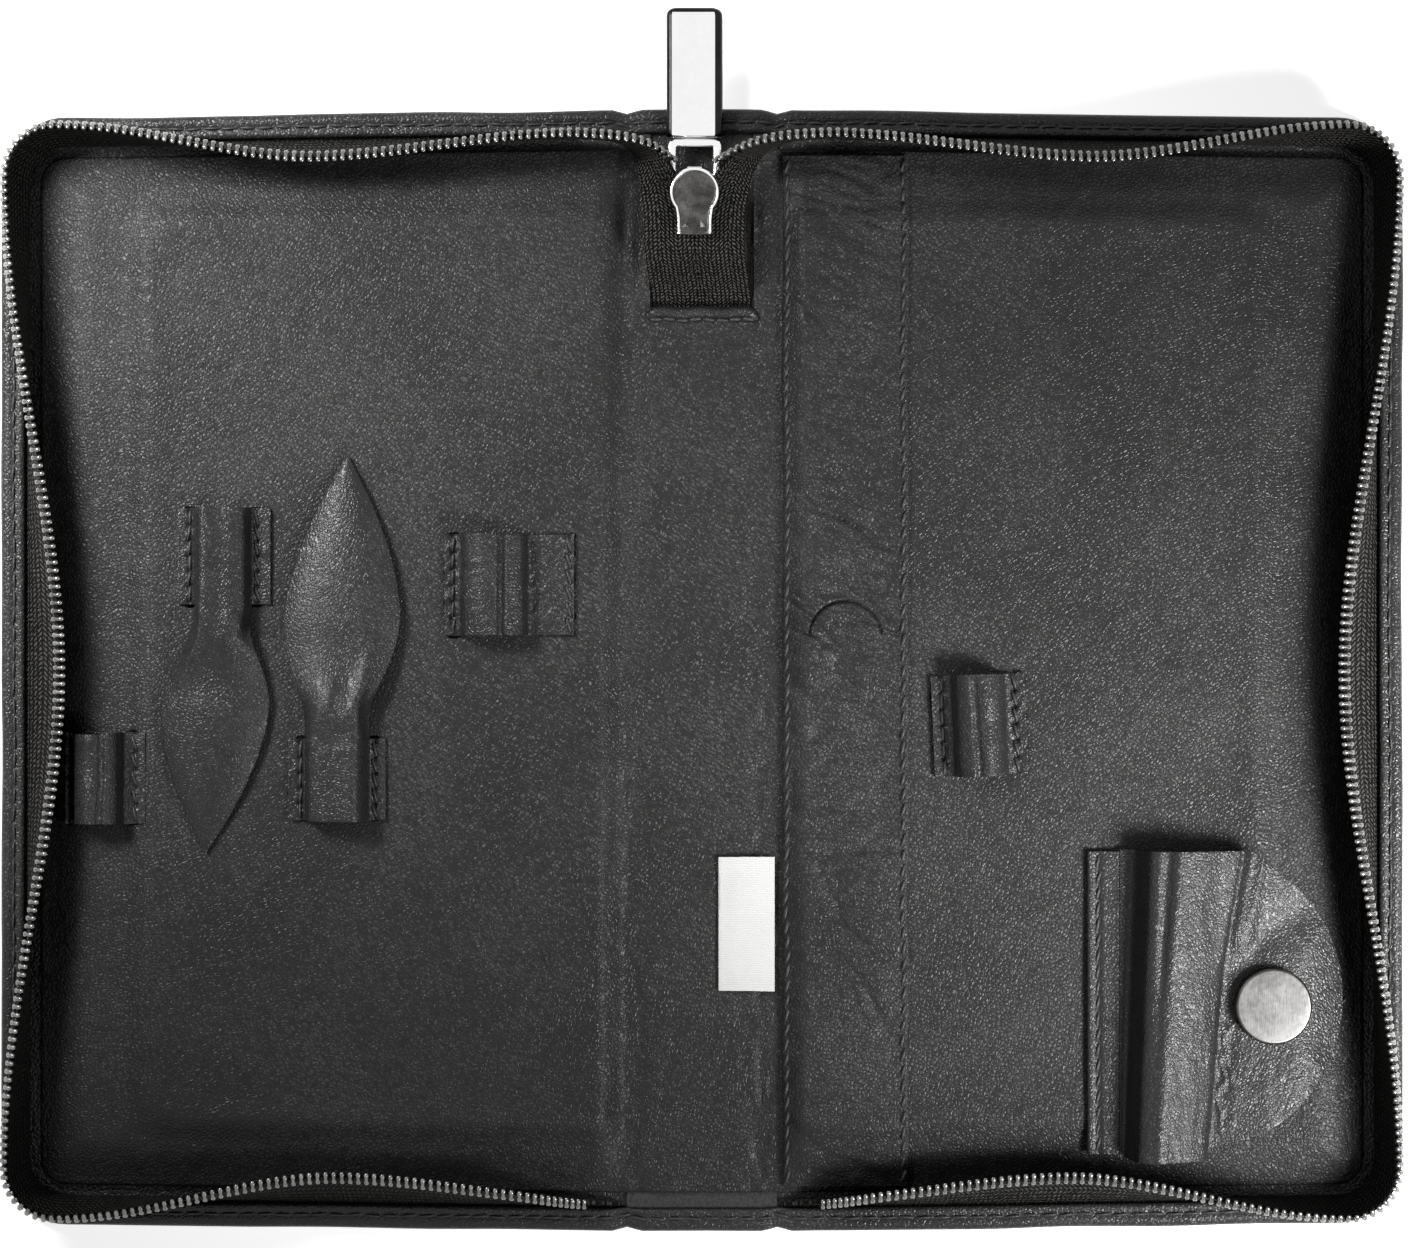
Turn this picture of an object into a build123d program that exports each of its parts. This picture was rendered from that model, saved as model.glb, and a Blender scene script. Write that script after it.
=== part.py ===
"""Zip-round leather manicure case, lying open like a book, empty.

Frame: origin on the table at the middle of the spine, +X towards the right cover's fore edge,
+Y towards the end where the zip starts, +Z up out of the open case. Millimetres throughout.
"""

from build123d import *

import math
import os

# ---- covers and spine ------------------------------------------------------------------
case_height = 169.0  # along the spine
cover_width = 94.2  # fold line to fore edge
spine_width = 22.6  # fold line to fold line
edge_taper = 1.4  # each cover draws in by this at its fore edge, at each end
corner_radius = 10.0  # fore-edge corners, in plan
least_corner = 0.8
over = 1.0  # how far a cut reaches past the edge that it opens
big = 20.0  # more than the height of any piece that it cuts
shell_leather = 1.1  # outer leather
hem_width = 3.6  # turned edge, seen from inside
hem_bevel = 0.8  # turned edge, above and below
lining_leather = 0.9
edge_core = 0.7  # felt or foam under the lining at its edges
pad_rise = 2.1  # how far the padded panel stands above the lining's edge
pad_slope = 11.0  # width of the padded panel's slope along its outer sides
fold_slope = 4.5  # width of the slope beside the fold
pad_corner = 5.0  # cut corners of the raised panel
lining_corner = 2.6  # and of the lining's edge
board_thickness = 1.0
board_inset = 9.5  # cover edge to board edge
board_fold_gap = 3.0  # fold line to board

# ---- zip -------------------------------------------------------------------------------
tape_thickness = 0.5
tape_slot_fit = 0.05  # air above the tape inside the turned edge
tape_free = 12.7  # sewn line to the tip of the teeth
station_pitch = 7.0  # spacing of the sections that shape the leaning tape
corner_sections = 5  # and how many parts a corner is turned in
fine_steps = 16
tape_to_hem = 0.5  # turned edge to the middle of the standing tape
tape_to_lining = 1.9  # middle of the standing tape's foot to the lining
tooth_pitch = 1.2
tooth_length = 0.75  # along the tape
closed_tooth_length = 0.5  # what fits between the other row's teeth
tooth_reach = 2.6  # up the tape
tooth_depth = 1.2  # out from the tape
tooth_overhang = 0.8  # tip above the tape's edge
tooth_crest = 0.4  # share of the reach at which a tooth stands out most
tooth_seat = 0.2  # air between tooth and tape
corner_lean = -1.1  # inward lean of the tape's edge; negative is outward
top_lean = 4.2
side_lean = 7.0
bottom_lean = 5.6
top_lean_at_spine = 1.2
bottom_lean_at_spine = 2.4
top_start_gap = 7.8  # fold line to where the loose turn of tape begins
bottom_end_gap = 0.9  # fold line to the end of the standing tape
dive_length = 15.0  # over this the tape sinks into the seam beside the spine's lower end
dive_left = 2.4  # what still stands at its end
turn_sections = 8  # steps along the loose turn
turn_gap = 0.2  # standing tape to the loose turn
turn_pull_x = 1.0  # fold line to the turn's first bend
turn_tip_in = 0.4  # how far its teeth lean in further there
foot_pull_x, foot_pull_y, foot_pull_z = 1.8, 4.5, 0.4  # second bend of its foot edge
tip_pull_x, tip_pull_y, tip_pull_z = 3.6, 4.2, 0.6  # and of its toothed edge
foot_end_x, foot_end_y, foot_end_z = 0.9, 0.6, 2.4  # end of the foot edge beside the tail
tip_end_share, tip_end_y, tip_end_z = 0.55, 0.5, 0.4  # end of the toothed edge in the slider

# ---- zip tail, slider and pull ---------------------------------------------------------
slider_x = -1.1  # the slider hangs a little left of the middle
nose_from_top = 9.8  # top edge of the spine to the slider's nose
slider_base_z = 6.4  # underside of the front plate
head_radius = 3.7
neck_width = 5.2
slider_length = 10.0
plate_thickness = 0.9
channel_height = 2.7
flange_thickness = 0.6
tape_slot_height = 0.9
tape_slot_rise = 1.35  # channel floor to tape slot
mouth_length = 3.0
waist_radius = 1.6
wedge_width = 1.9
wedge_set_back = 0.2
plate_round = 0.3
rim_width = 0.55
rim_depth = 0.15
bail_width = 2.2
bail_strap = 0.7
bail_hole_height = 2.4
bail_length = 7.0
bail_nose = 0.25  # bail stands this far in front of the nose
bail_outer_round, bail_inner_round = 1.2, 0.7
pin_radius = 0.65
pin_clearance = 0.12
pin_seat = 0.25  # air under the link's bar where it hangs in the bail
link_inner_width = 5.4
link_arm = 1.35
link_length = 6.55  # along the pull
tenon_width = 5.0  # what the link reaches into the grip with
tenon_length = 1.6
grip_width = 8.4
grip_length = 19.4
grip_thickness = 3.3
grip_round = 0.9
grip_fit = 0.06
grip_drop = 0.1  # grip's middle below the pivot
tail_width = 7.4
tail_gap = 0.12  # between the middle and each tail tape
slot_from_top = 29.9  # top edge of the spine to where the tail goes under the lining
tail_buried = 7.0  # length of tail under the lining
tail_run_in = 0.6  # level stretch of tail before the slider
tail_sections = 10
tail_end_gap = 1.2  # slider's mouth to the ends of the tail's tapes
teeth_end_gap = 1.6  # and to the last of its closed teeth
teeth_from = 0.25  # share of the tail's rise at which its teeth begin
felt_gap = 0.5  # buried end of the tail to the felt round it
welt_width = 2.2
welt_height = 0.5
welt_round = 0.8  # as a share of its height
notch_margin = 0.35

# ---- tool loops, tongues, pocket and flap ----------------------------------------------
loop_leather = 0.8
loop_bend = 0.32  # bend radius inside a tunnel's top, as a share of its smaller side
loop_wall_lean = 0.04  # how far each wall leans in, as a share of the tunnel's width
tongue_leather = 0.9
tongue_gap = 0.2  # loop to tongue
tongue_lift = 0.3  # tongue's tip above the lining
flap_leather = 0.9
flap_lift = 0.3
pocket_leather = 0.9
pocket_fold_gap = 1.2
pocket_width = 18.4
pocket_end_gap = 2.0
slit_radius = 5.4
slit_y = 5.1
slit_x_share = 0.5  # slit's middle across the pocket
slit_width = 0.3
flap_from_fore_edge = 43.2  # fore edge to the flap's hinge
flap_from_bottom = 34.9  # bottom edge of the spine to the flap's middle
flap_height = 46.0
flap_reach = 33.4  # hinge to the flap's far edge
flap_disc_radius = 22.5
flap_disc_rise = 1.0  # middle of its round end above the tunnel's middle
flap_base_width = 4.6
flap_tunnel_from = 2.6
flap_tunnel_width = 12.2
flap_tunnel_height = 7.0
flap_rest_height = 2.9  # flap above the lining beside the snap
snap_from_hinge = 22.4
flap_wall_run = 1.2  # how far the tunnel's wall leans
flap_shoulder = 0.92  # share of the tunnel's height at which its wall ends
flap_crown = 0.42  # share of the tunnel's width at which it is highest
flap_bends = (1.2, 2.2, 3.4, 2.6, 3.0)  # bend radii from the hinge outwards
flap_seat_margin = 0.4  # level leather round the cap
flap_strip_gap = 0.1
cap_radius = 5.65
cap_thickness = 1.3
cap_bevel = 0.25
cap_neck_radius = 4.3
cap_neck_height = 0.8
snap_fit = 0.2
stud_radius = 1.7
stud_taper = 0.25
stud_flange_radius = 3.9
stud_flange_thickness = 0.5
socket_radius = 3.6
socket_roof = 0.5
stem_radius = 1.2
label_width = 8.4
label_length = 20.1
label_thickness = 0.22
label_from_bottom = 46.5  # bottom edge of the spine to the label's middle
label_fold_gap = 0.4
label_air = 0.12
label_seat = 0.03

# ---- heights and lines that follow from them -------------------------------------------
fold_x = spine_width / 2
fore_x = fold_x + cover_width
lining_edge_z = shell_leather + edge_core  # underside of the lining at its edge
hem_top = lining_edge_z + lining_leather  # top of the turned edge, the lining's edge and the folds
lining_z = hem_top + pad_rise  # top of the padded panels
tape_inset = hem_width + tape_to_hem
lining_inset = tape_inset + tape_to_lining
nose_y = case_height / 2 - nose_from_top
slot_y = case_height / 2 - slot_from_top
flap_middle_y = flap_from_bottom - case_height / 2
label_y = label_from_bottom - case_height / 2


def edge_y(x, inset=0.0):
    """Half height of a cover at x, drawn in by inset."""
    return case_height / 2 - inset - edge_taper * (x - fold_x) / cover_width


def cover_plan(inset, start=fold_x, cut=None):
    """Plan of the right cover, drawn in by inset on its three outer sides, from x = start.

    Its two outer corners are rounded, or cut off at 45 degrees where a cut is given.
    """
    far = fore_x - inset
    low_near, low_far = (start, -edge_y(start, inset)), (far, -edge_y(far, inset))
    high_far, high_near = (far, edge_y(far, inset)), (start, edge_y(start, inset))
    plan = make_face(Polyline(low_near, low_far, high_far, high_near, close=True))
    corners = plan.vertices().group_by(Axis.X)[-1]
    if cut:
        return chamfer(corners, cut)
    return fillet(corners, max(corner_radius - inset, least_corner))


def skin(sections):
    """Solid with flat three-sided faces through closed sections that have as many corners each."""
    faces = [polygon(sections[0]), polygon(sections[-1])]
    for near, far in zip(sections, sections[1:]):
        for i in range(len(near)):
            faces.append(polygon((near[i - 1], near[i], far[i])))
            faces.append(polygon((near[i - 1], far[i], far[i - 1])))
    return Solid(Shell(faces)).fix()


def polygon(corners):
    """Flat face with these corners."""
    return Face(Wire.make_polygon(corners, close=True))


def smooth(t):
    """Rises from 0 to 1 with a level start and end."""
    t = min(max(t, 0.0), 1.0)
    return t * t * (3 - 2 * t)


# ================================ covers ================================


def cover_shell():
    """Outer leather of the right cover: a plate with its three free edges turned over."""
    body = extrude(cover_plan(0), hem_top)
    rims = body.edges().filter_by(lambda e: e.center().X > fold_x + over)
    rims = rims.filter_by(lambda e: abs(e.bounding_box().size.Z) < 0.01)
    body = chamfer(rims, hem_bevel)
    tray = Pos(0, 0, shell_leather) * extrude(cover_plan(hem_width), hem_top)
    slot_height = tape_thickness + tape_slot_fit
    slot = Pos(0, 0, shell_leather) * extrude(cover_plan(shell_leather), slot_height)
    return body - tray - slot


def pad_form(top_z):
    """Everything under a padded panel whose flat top is at top_z, down to the outer leather."""
    edge_z = top_z - pad_rise
    foot = cover_plan(lining_inset, cut=lining_corner)
    crown = cover_plan(lining_inset + pad_slope, fold_x + fold_slope, pad_corner)
    base = Pos(0, 0, shell_leather) * extrude(foot, edge_z - shell_leather)
    rims = ((foot, edge_z), (crown, top_z))
    hill = skin([[Vector(v.X, v.Y, z) for v in around(plan)] for plan, z in rims])
    return base + hill


def around(plan):
    """Corners of a plan in order round its middle."""
    middle = plan.center()
    return sorted(plan.vertices(), key=lambda v: math.atan2(v.Y - middle.Y, v.X - middle.X))


def cover_board():
    """Stiffening board inside the right cover."""
    plan = cover_plan(board_inset, fold_x + board_fold_gap)
    return Pos(0, 0, shell_leather) * extrude(plan, board_thickness)


def cover_padding(board):
    """Foam over and round the board, under the lining."""
    return pad_form(lining_z - lining_leather) - board


def panel_layer(bottom_z, thickness):
    """A sheet of leather that follows a padded panel, its underside at bottom_z on the flat."""
    return pad_form(bottom_z + thickness) - pad_form(bottom_z)


# ================================ zip tape and teeth ================================


def sewn_line():
    """The line on which the right tape stands: out along the top, down the fore edge and back."""
    far = fore_x - tape_inset
    start_x, end_x = fold_x + top_start_gap, fold_x + bottom_end_gap
    points = [
        (start_x, edge_y(start_x, tape_inset)),
        (far, edge_y(far, tape_inset)),
        (far, -edge_y(far, tape_inset)),
        (end_x, -edge_y(end_x, tape_inset)),
    ]
    return FilletPolyline(*points, radius=corner_radius - tape_inset)


# for each straight run of the sewn line: lean at its start, at its middle and at its end
RUN_LEANS = (
    (top_lean_at_spine, top_lean, corner_lean),
    (corner_lean, side_lean, corner_lean),
    (corner_lean, bottom_lean, bottom_lean_at_spine),
)


def run_lean(run, share):
    """Inward lean of the tape's edge at a share of the way along a straight run."""
    start, middle, end = RUN_LEANS[run]
    if share < 0.5:
        return start + (middle - start) * smooth(2 * share)
    return middle + (end - middle) * smooth(2 * share - 1)


def run_width(run, share, length):
    """Free width of the tape there: whole, but for the dive beside the spine's lower end."""
    if run < len(RUN_LEANS) - 1:
        return tape_free
    into_dive = (share * length - (length - dive_length)) / dive_length
    return tape_free - (tape_free - dive_left) * smooth(into_dive)


def wall_stations():
    """Places along the sewn line with the tape's direction, lean and free width at each."""
    stations, run = [], 0
    for edge in sewn_line().edges():
        if edge.geom_type == GeomType.CIRCLE:
            for i in range(1, corner_sections):
                t = i / corner_sections
                stations.append((edge @ t, edge % t, corner_lean, tape_free))
            continue
        count = round(edge.length / station_pitch)
        for t in (i / count for i in range(count + 1)):
            width = run_width(run, t, edge.length)
            stations.append((edge @ t, edge % t, run_lean(run, t) * width / tape_free, width))
        run += 1
    return stations


def wall_tip(point, tangent, lean, width):
    """Edge of the standing tape where its teeth end."""
    across = Vector(tangent.Y, -tangent.X, 0)  # points into the case
    rise = math.sqrt(width**2 - lean**2)
    return point + Vector(0, 0, shell_leather + rise) + across * lean


def tape_section(point, tangent, lean, width):
    """Corners of the tape's section: a flat sewn foot and a leaning wall."""
    across = Vector(tangent.Y, -tangent.X, 0)
    reach = width - tooth_overhang
    lean *= reach / width
    rise = math.sqrt(reach**2 - lean**2)
    half_d, half_z = tape_thickness / 2 * rise / reach, tape_thickness / 2 * lean / reach
    foot = tape_inset - shell_leather - 2 * tape_slot_fit
    crease = lean * tape_thickness / rise - tape_thickness / 2 * reach / rise
    corners = [
        (-foot, 0),
        (tape_thickness / 2, 0),
        (lean + half_d, rise - half_z),
        (lean - half_d, rise + half_z),
        (crease, tape_thickness),
        (-foot, tape_thickness),
    ]
    return [point + across * d + Vector(0, 0, shell_leather + z) for d, z in corners]


def standing_tape():
    """Right zip tape from the loose turn at the top to its end beside the spine's foot."""
    return skin([tape_section(*station) for station in wall_stations()])


def edge_frames(step):
    """Frames at even steps along the standing tape's toothed edge: (place, up the tape, width)."""
    fine = []
    stations = wall_stations()
    for near, far in zip(stations, stations[1:]):
        tips = [wall_tip(*station) for station in (near, far)]
        feet = [station[0] + Vector(0, 0, shell_leather) for station in (near, far)]
        for t in (i / fine_steps for i in range(fine_steps)):
            tip, foot = tips[0] + (tips[1] - tips[0]) * t, feet[0] + (feet[1] - feet[0]) * t
            fine.append((tip, (tip - foot).normalized(), near[3] + (far[3] - near[3]) * t))
    return even_steps(fine, step)


def even_steps(fine, step):
    """Picks from a fine list of (place, up, width) those that lie step apart along the places."""
    picked, walked, due = [], 0.0, step / 2
    for here, following in zip(fine, fine[1:]):
        walked += (following[0] - here[0]).length
        if walked >= due:
            picked.append((*following, (following[0] - here[0]).normalized()))
            due += step
    return picked


def wedge_tooth(tip, up, out, along, length):
    """A three-sided tooth from its tip down the tape, standing out from the tape's face."""
    crest = tip - up * (tooth_reach * tooth_crest) + out * tooth_depth
    wedge = Wire.make_polygon([tip, crest, tip - up * tooth_reach], close=True)
    face = Face(wedge.translate(along * (-length / 2)))
    return extrude(face, length, dir=along)


def tooth(place, up, along, side):
    """One tooth: its tip at place, reaching down the tape on the side away from the case."""
    out = up.cross(along).normalized() * side
    seat = tape_thickness / 2 + tooth_seat
    return wedge_tooth(place + out * seat, up, out, along, tooth_length)


def standing_teeth():
    """The right row of teeth, as far as the tape is wide enough to carry them."""
    least = tooth_reach + tape_thickness + 2 * tooth_overhang
    frames = [f for f in edge_frames(tooth_pitch) if f[2] > least]
    return [tooth(place, up, along, 1) for place, up, _, along in frames]


# ================================ zip turn, tail and slider ================================

slider_channel_z = slider_base_z + plate_thickness
tail_rise_length = nose_y - slider_length - tail_run_in - slot_y  # from the slot to full height
slider_tape_z = slider_channel_z + tape_slot_rise + tape_slot_height / 2
notch_half = tail_width + notch_margin


def bezier(points, t):
    """Point at t on the cubic curve with these four control points."""
    a, b, c, d = (Vector(*p) for p in points)
    s = 1 - t
    return a * s**3 + b * (3 * s * s * t) + c * (3 * s * t * t) + d * t**3


def ribbon(stations):
    """Solid of the tape's thickness through stations of (foot edge, toothed edge)."""
    sections = []
    last = len(stations) - 1
    for i, (foot, tip) in enumerate(stations):
        before, after = stations[max(i - 1, 0)], stations[min(i + 1, last)]
        along = (after[0] + after[1]) - (before[0] + before[1])
        normal = along.cross(tip - foot).normalized() * (tape_thickness / 2)
        sections.append([foot + normal, tip + normal, tip - normal, foot - normal])
    return skin(sections)


def turn_curves(side):
    """Control points of the loose turn on one side, its foot edge and the tips of its teeth."""
    start_x = fold_x + top_start_gap
    foot_end_side = slider_x + side * (tail_width + foot_end_x)
    stand = math.sqrt(tape_free**2 - top_lean_at_spine**2)
    start_y = edge_y(start_x, tape_inset)
    clear_z = hem_top + tape_thickness
    tip_z = shell_leather + stand
    part_lean = top_lean_at_spine * (clear_z - shell_leather) / stand
    tip_y = start_y - top_lean_at_spine
    middle = slider_x + side * head_radius * tip_end_share
    foot = [
        (side * (start_x - turn_gap), start_y - part_lean, clear_z),
        (side * (fold_x + turn_pull_x), start_y - part_lean, clear_z),
        (side * (fold_x - foot_pull_x), nose_y + foot_pull_y, clear_z + foot_pull_z),
        (foot_end_side, nose_y - foot_end_y, slider_tape_z - foot_end_z),
    ]
    tip = [
        (side * (start_x - turn_gap), tip_y, tip_z),
        (side * (fold_x + turn_pull_x), tip_y - turn_tip_in, tip_z),
        (side * (fold_x - tip_pull_x), nose_y + tip_pull_y, tip_z - tip_pull_z),
        (middle, nose_y + tip_end_y, slider_tape_z + tip_end_z),
    ]
    return foot, tip


def loose_turn(side):
    """The stretch of tape that bends from the cover's edge into the slider."""
    foot, tip = turn_curves(side)
    stations = []
    for i in range(turn_sections + 1):
        low, high = bezier(foot, i / turn_sections), bezier(tip, i / turn_sections)
        stations.append((low, high - (high - low).normalized() * tooth_overhang))
    return ribbon(stations)


def turn_teeth(side):
    """Teeth on the loose turn."""
    foot, tip = turn_curves(side)
    fine = []
    count = turn_sections * fine_steps
    for t in (i / count for i in range(count + 1)):
        low, high = bezier(foot, t), bezier(tip, t)
        fine.append((high, (high - low).normalized(), tape_free))
    frames = even_steps(fine, tooth_pitch)[:-1]
    return [tooth(place, up, along, -side) for place, up, _, along in frames]


def tail_middle(share):
    """Middle line of the tail from under the lining, at 0, to the slider's height, at 1."""
    y = slot_y + share * tail_rise_length
    buried_z = shell_leather + tape_thickness / 2
    z = buried_z + (slider_tape_z - buried_z) * smooth(share)
    return Vector(slider_x * smooth(share), y, z)


def tail_tape(side):
    """One tape of the tail, from under the lining up into the slider."""
    end_y = nose_y - mouth_length - tail_end_gap
    middles = [Vector(0, slot_y - tail_buried, shell_leather + tape_thickness / 2)]
    middles += [tail_middle(i / tail_sections) for i in range(tail_sections + 1)]
    middles += [Vector(slider_x, end_y, slider_tape_z)]
    inner, outer = Vector(side * tail_gap, 0, 0), Vector(side * tail_width, 0, 0)
    return ribbon([(m + outer, m + inner) for m in middles])


def tail_teeth():
    """The closed teeth under the tail, left and right in turn."""
    up = Vector(0, 0, 1)
    steps = [i / (2 * fine_steps) for i in range(2 * fine_steps + 1)]
    fine = [(tail_middle(teeth_from + (1 - teeth_from) * t), up, tape_free) for t in steps]
    top = fine[-1][0]
    last = Vector(slider_x, nose_y - mouth_length - teeth_end_gap, slider_tape_z)
    fine += [(top + (last - top) * t, up, tape_free) for t in steps[1:]]
    teeth = []
    seat = tape_thickness / 2 + tooth_seat
    for i, (place, _, _, along) in enumerate(even_steps(fine, tooth_pitch / 2)):
        side = 1 if i % 2 else -1
        across = Vector(-side, 0, 0)
        below = Vector(1, 0, 0).cross(along).normalized() * -1
        tip = place + below * seat + across * tooth_overhang
        teeth.append(wedge_tooth(tip, across, below, along, closed_tooth_length))
    return teeth


def slider_plan():
    """Outline of the slider's plates: a round head with a narrower neck behind it."""
    head = Pos(0, -head_radius) * Circle(head_radius)
    neck_length = slider_length - head_radius
    neck = Pos(0, -head_radius - neck_length / 2) * Rectangle(neck_width, neck_length)
    plan = head + neck
    return fillet(plan.vertices().group_by(Axis.Y)[1], waist_radius)


def slider_body():
    """Slider: two plates with turned lips, held together by the wedge between the tapes."""
    plan = slider_plan()
    height = 2 * plate_thickness + channel_height
    body = extrude(plan, height)
    rims = body.edges().filter_by(lambda e: e.bounding_box().size.Z < 0.01)
    body = chamfer(rims.group_by(Axis.Z)[-1] + rims.group_by(Axis.Z)[0], plate_round)
    channel_plan = offset(plan, -flange_thickness)
    channel = extrude(channel_plan, channel_height)
    tail_open = Pos(0, -slider_length, channel_height / 2) * Box(
        neck_width - 2 * flange_thickness, 2 * flange_thickness + over, channel_height
    )
    mouth = Pos(0, over - mouth_length / 2, channel_height / 2) * Box(
        big, mouth_length + 2 * over, channel_height
    )
    tape_slot = Pos(0, -slider_length / 2, tape_slot_rise + tape_slot_height / 2) * Box(
        big, slider_length + 2 * over, tape_slot_height
    )
    wedge_plan = make_face(
        Polyline(
            (0, -mouth_length - wedge_set_back),
            (wedge_width / 2, -wedge_width),
            (0, -wedge_set_back),
            (-wedge_width / 2, -wedge_width),
            close=True,
        )
    )
    wedge = extrude(wedge_plan, channel_height)
    hollow = Pos(0, 0, plate_thickness) * (channel + tail_open + mouth + tape_slot - wedge)
    dish = Pos(0, 0, height - rim_depth) * extrude(offset(plan, -rim_width), over)
    return Pos(slider_x, nose_y, slider_base_z) * (body - hollow - dish)


def slider_bail():
    """Bridge on the slider's front plate that holds the pull."""
    depth = bail_hole_height + bail_strap
    front = bail_nose + bail_strap / 2
    outer = Pos(front - bail_length / 2, -depth / 2) * Rectangle(bail_length, depth)
    outer = fillet(outer.vertices().group_by(Axis.Y)[0], bail_outer_round)
    inner = Pos(front - bail_length / 2, -bail_hole_height / 2) * Rectangle(
        bail_length - 2 * bail_strap, bail_hole_height
    )
    inner = fillet(inner.vertices().group_by(Axis.Y)[0], bail_inner_round)
    strap = extrude(Plane.YZ * (outer - inner), bail_width / 2, both=True)
    trim = Pos(0, 0, big / 2) * Box(big, big, big)
    return Pos(slider_x, nose_y, slider_base_z) * (strap - trim)


pivot_y = nose_y + bail_nose - bail_strap / 2 - pin_clearance - pin_radius
pivot_z = slider_base_z - bail_hole_height + pin_radius + pin_seat


def pull_link():
    """Rectangular link: a round bar in the bail, two arms and a far bar with a tenon."""
    width = link_inner_width + 2 * link_arm
    bar = Rot(0, 90, 0) * Cylinder(pin_radius, width)
    arms = [
        Pos(side * (link_inner_width + link_arm) / 2, (link_length - pin_radius) / 2, 0)
        * Box(link_arm, link_length - pin_radius, 2 * pin_radius)
        for side in (-1, 1)
    ]
    far_y = link_length - pin_radius
    far_bar = Pos(0, far_y - link_arm / 2, 0) * Box(width, link_arm, 2 * pin_radius)
    tenon = Pos(0, far_y + tenon_length / 2, 0) * Box(tenon_width, tenon_length, 2 * pin_radius)
    return Pos(slider_x, pivot_y, pivot_z) * (bar + arms + far_bar + tenon)


def pull_grip():
    """Bar-shaped grip with rounded edges and a pocket for the link's tenon."""
    start_y = link_length - pin_radius + grip_fit
    middle = Pos(0, start_y + grip_length / 2, -grip_drop)
    grip = middle * Box(grip_width, grip_length, grip_thickness)
    grip = fillet(grip.edges().filter_by(Axis.Y), grip_round)
    grip = chamfer(grip.faces().sort_by(Axis.Y)[-1].edges(), grip_round / 2)
    pocket = Pos(0, start_y, 0) * Box(
        tenon_width + 2 * grip_fit, 2 * tenon_length, 2 * (pin_radius + grip_fit)
    )
    return Pos(slider_x, pivot_y, pivot_z) * (grip - pocket)


# ================================ spine ================================


def spine_shell():
    """Outer leather of the spine, turned over at both ends."""
    body = extrude(Rectangle(spine_width, case_height), hem_top)
    body = chamfer(body.edges().filter_by(Axis.X), hem_bevel)
    above = Pos(0, 0, shell_leather)
    tray = above * extrude(Rectangle(spine_width, case_height - 2 * hem_width), hem_top)
    slot = Rectangle(spine_width, case_height - 2 * shell_leather)
    return body - tray - above * extrude(slot, tape_thickness + tape_slot_fit)


def spine_layer(bottom_z, thickness, notch_from):
    """A layer inside the spine, with a notch for the zip's tail open towards the top."""
    half = case_height / 2 - hem_width - tape_slot_fit
    sheet = Rectangle(spine_width, 2 * half)
    notch = Pos(0, notch_from + half) * Rectangle(2 * notch_half, 2 * half)
    return Pos(0, 0, bottom_z) * extrude(sheet - notch, thickness)


def tail_welt():
    """Folded edge of the lining over the slot where the tail goes in."""
    bar = Box(2 * notch_half, welt_width, welt_height)
    bar = fillet(bar.edges().filter_by(Axis.X).group_by(Axis.Z)[-1], welt_height * welt_round)
    return Pos(0, slot_y - welt_width / 2, hem_top + welt_height / 2) * bar


def blank_label():
    """Folded cloth tag on the spine, beside the right fold, with nothing on it."""
    height = 2 * label_thickness + label_air
    inner = Rectangle(label_width, label_air)
    rounded = Pos(-label_width / 2, 0) * (Circle(height / 2) - Circle(label_air / 2))
    fold = rounded & Pos(-label_width / 2 - height / 2, 0) * Rectangle(height, height)
    profile = Rectangle(label_width, height) - inner + fold
    tag = extrude(Plane.XZ * profile, label_length / 2, both=True)
    middle_x = fold_x - label_fold_gap - label_width / 2
    return Pos(middle_x, label_y, hem_top + label_seat + height / 2) * tag


# ================================ loops, tongues, pocket and flap ================================


def bent_strip(points, radii, thickness, length):
    """Leather strip along Y whose underside follows the points, in X and Z, with bend radii."""
    line = FilletPolyline(*points, radius=radii)
    profile = make_face(offset(line, thickness, side=Side.LEFT))
    return extrude(Plane.XZ * profile, length / 2, both=True)


def tool_loop(tab_left, tunnel, tab_right, height, length):
    """A loop stitched down on two tabs, its tunnel running along Y and starting at x = 0."""
    lean = tunnel * loop_wall_lean
    under = Polyline((0, 0), (lean, height), (tunnel - lean, height), (tunnel, 0), close=True)
    tunnel_face = make_face(under)
    tops = tunnel_face.vertices().group_by(Axis.Y)[-1]
    bend = min(tunnel, height) * loop_bend
    tunnel_face = fillet(tops, bend)
    wall = loop_leather
    over = Polyline(
        (-wall, 0),
        (lean - wall, height + wall),
        (tunnel - lean + wall, height + wall),
        (tunnel + wall, 0),
        close=True,
    )
    outer_face = make_face(over)
    outer_face = fillet(outer_face.vertices().group_by(Axis.Y)[-1], bend + wall)
    tabs = Pos((tunnel + tab_right - tab_left) / 2, wall / 2) * Rectangle(
        tab_left + tunnel + tab_right, wall
    )
    profile = outer_face + tabs - tunnel_face
    return extrude(Plane.XZ * profile, length / 2, both=True)


def tongue_half(share, mouth, width):
    """Half width of a tongue at a share of its length: a neck, a belly and a pointed tip."""
    if share < tongue_belly:
        return (mouth + (width - mouth) * smooth(share / tongue_belly)) / 2
    past = (share - tongue_belly) / (1 - tongue_belly)
    return max(width / 2 * (1 - past**tongue_fullness), tongue_tip)


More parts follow.
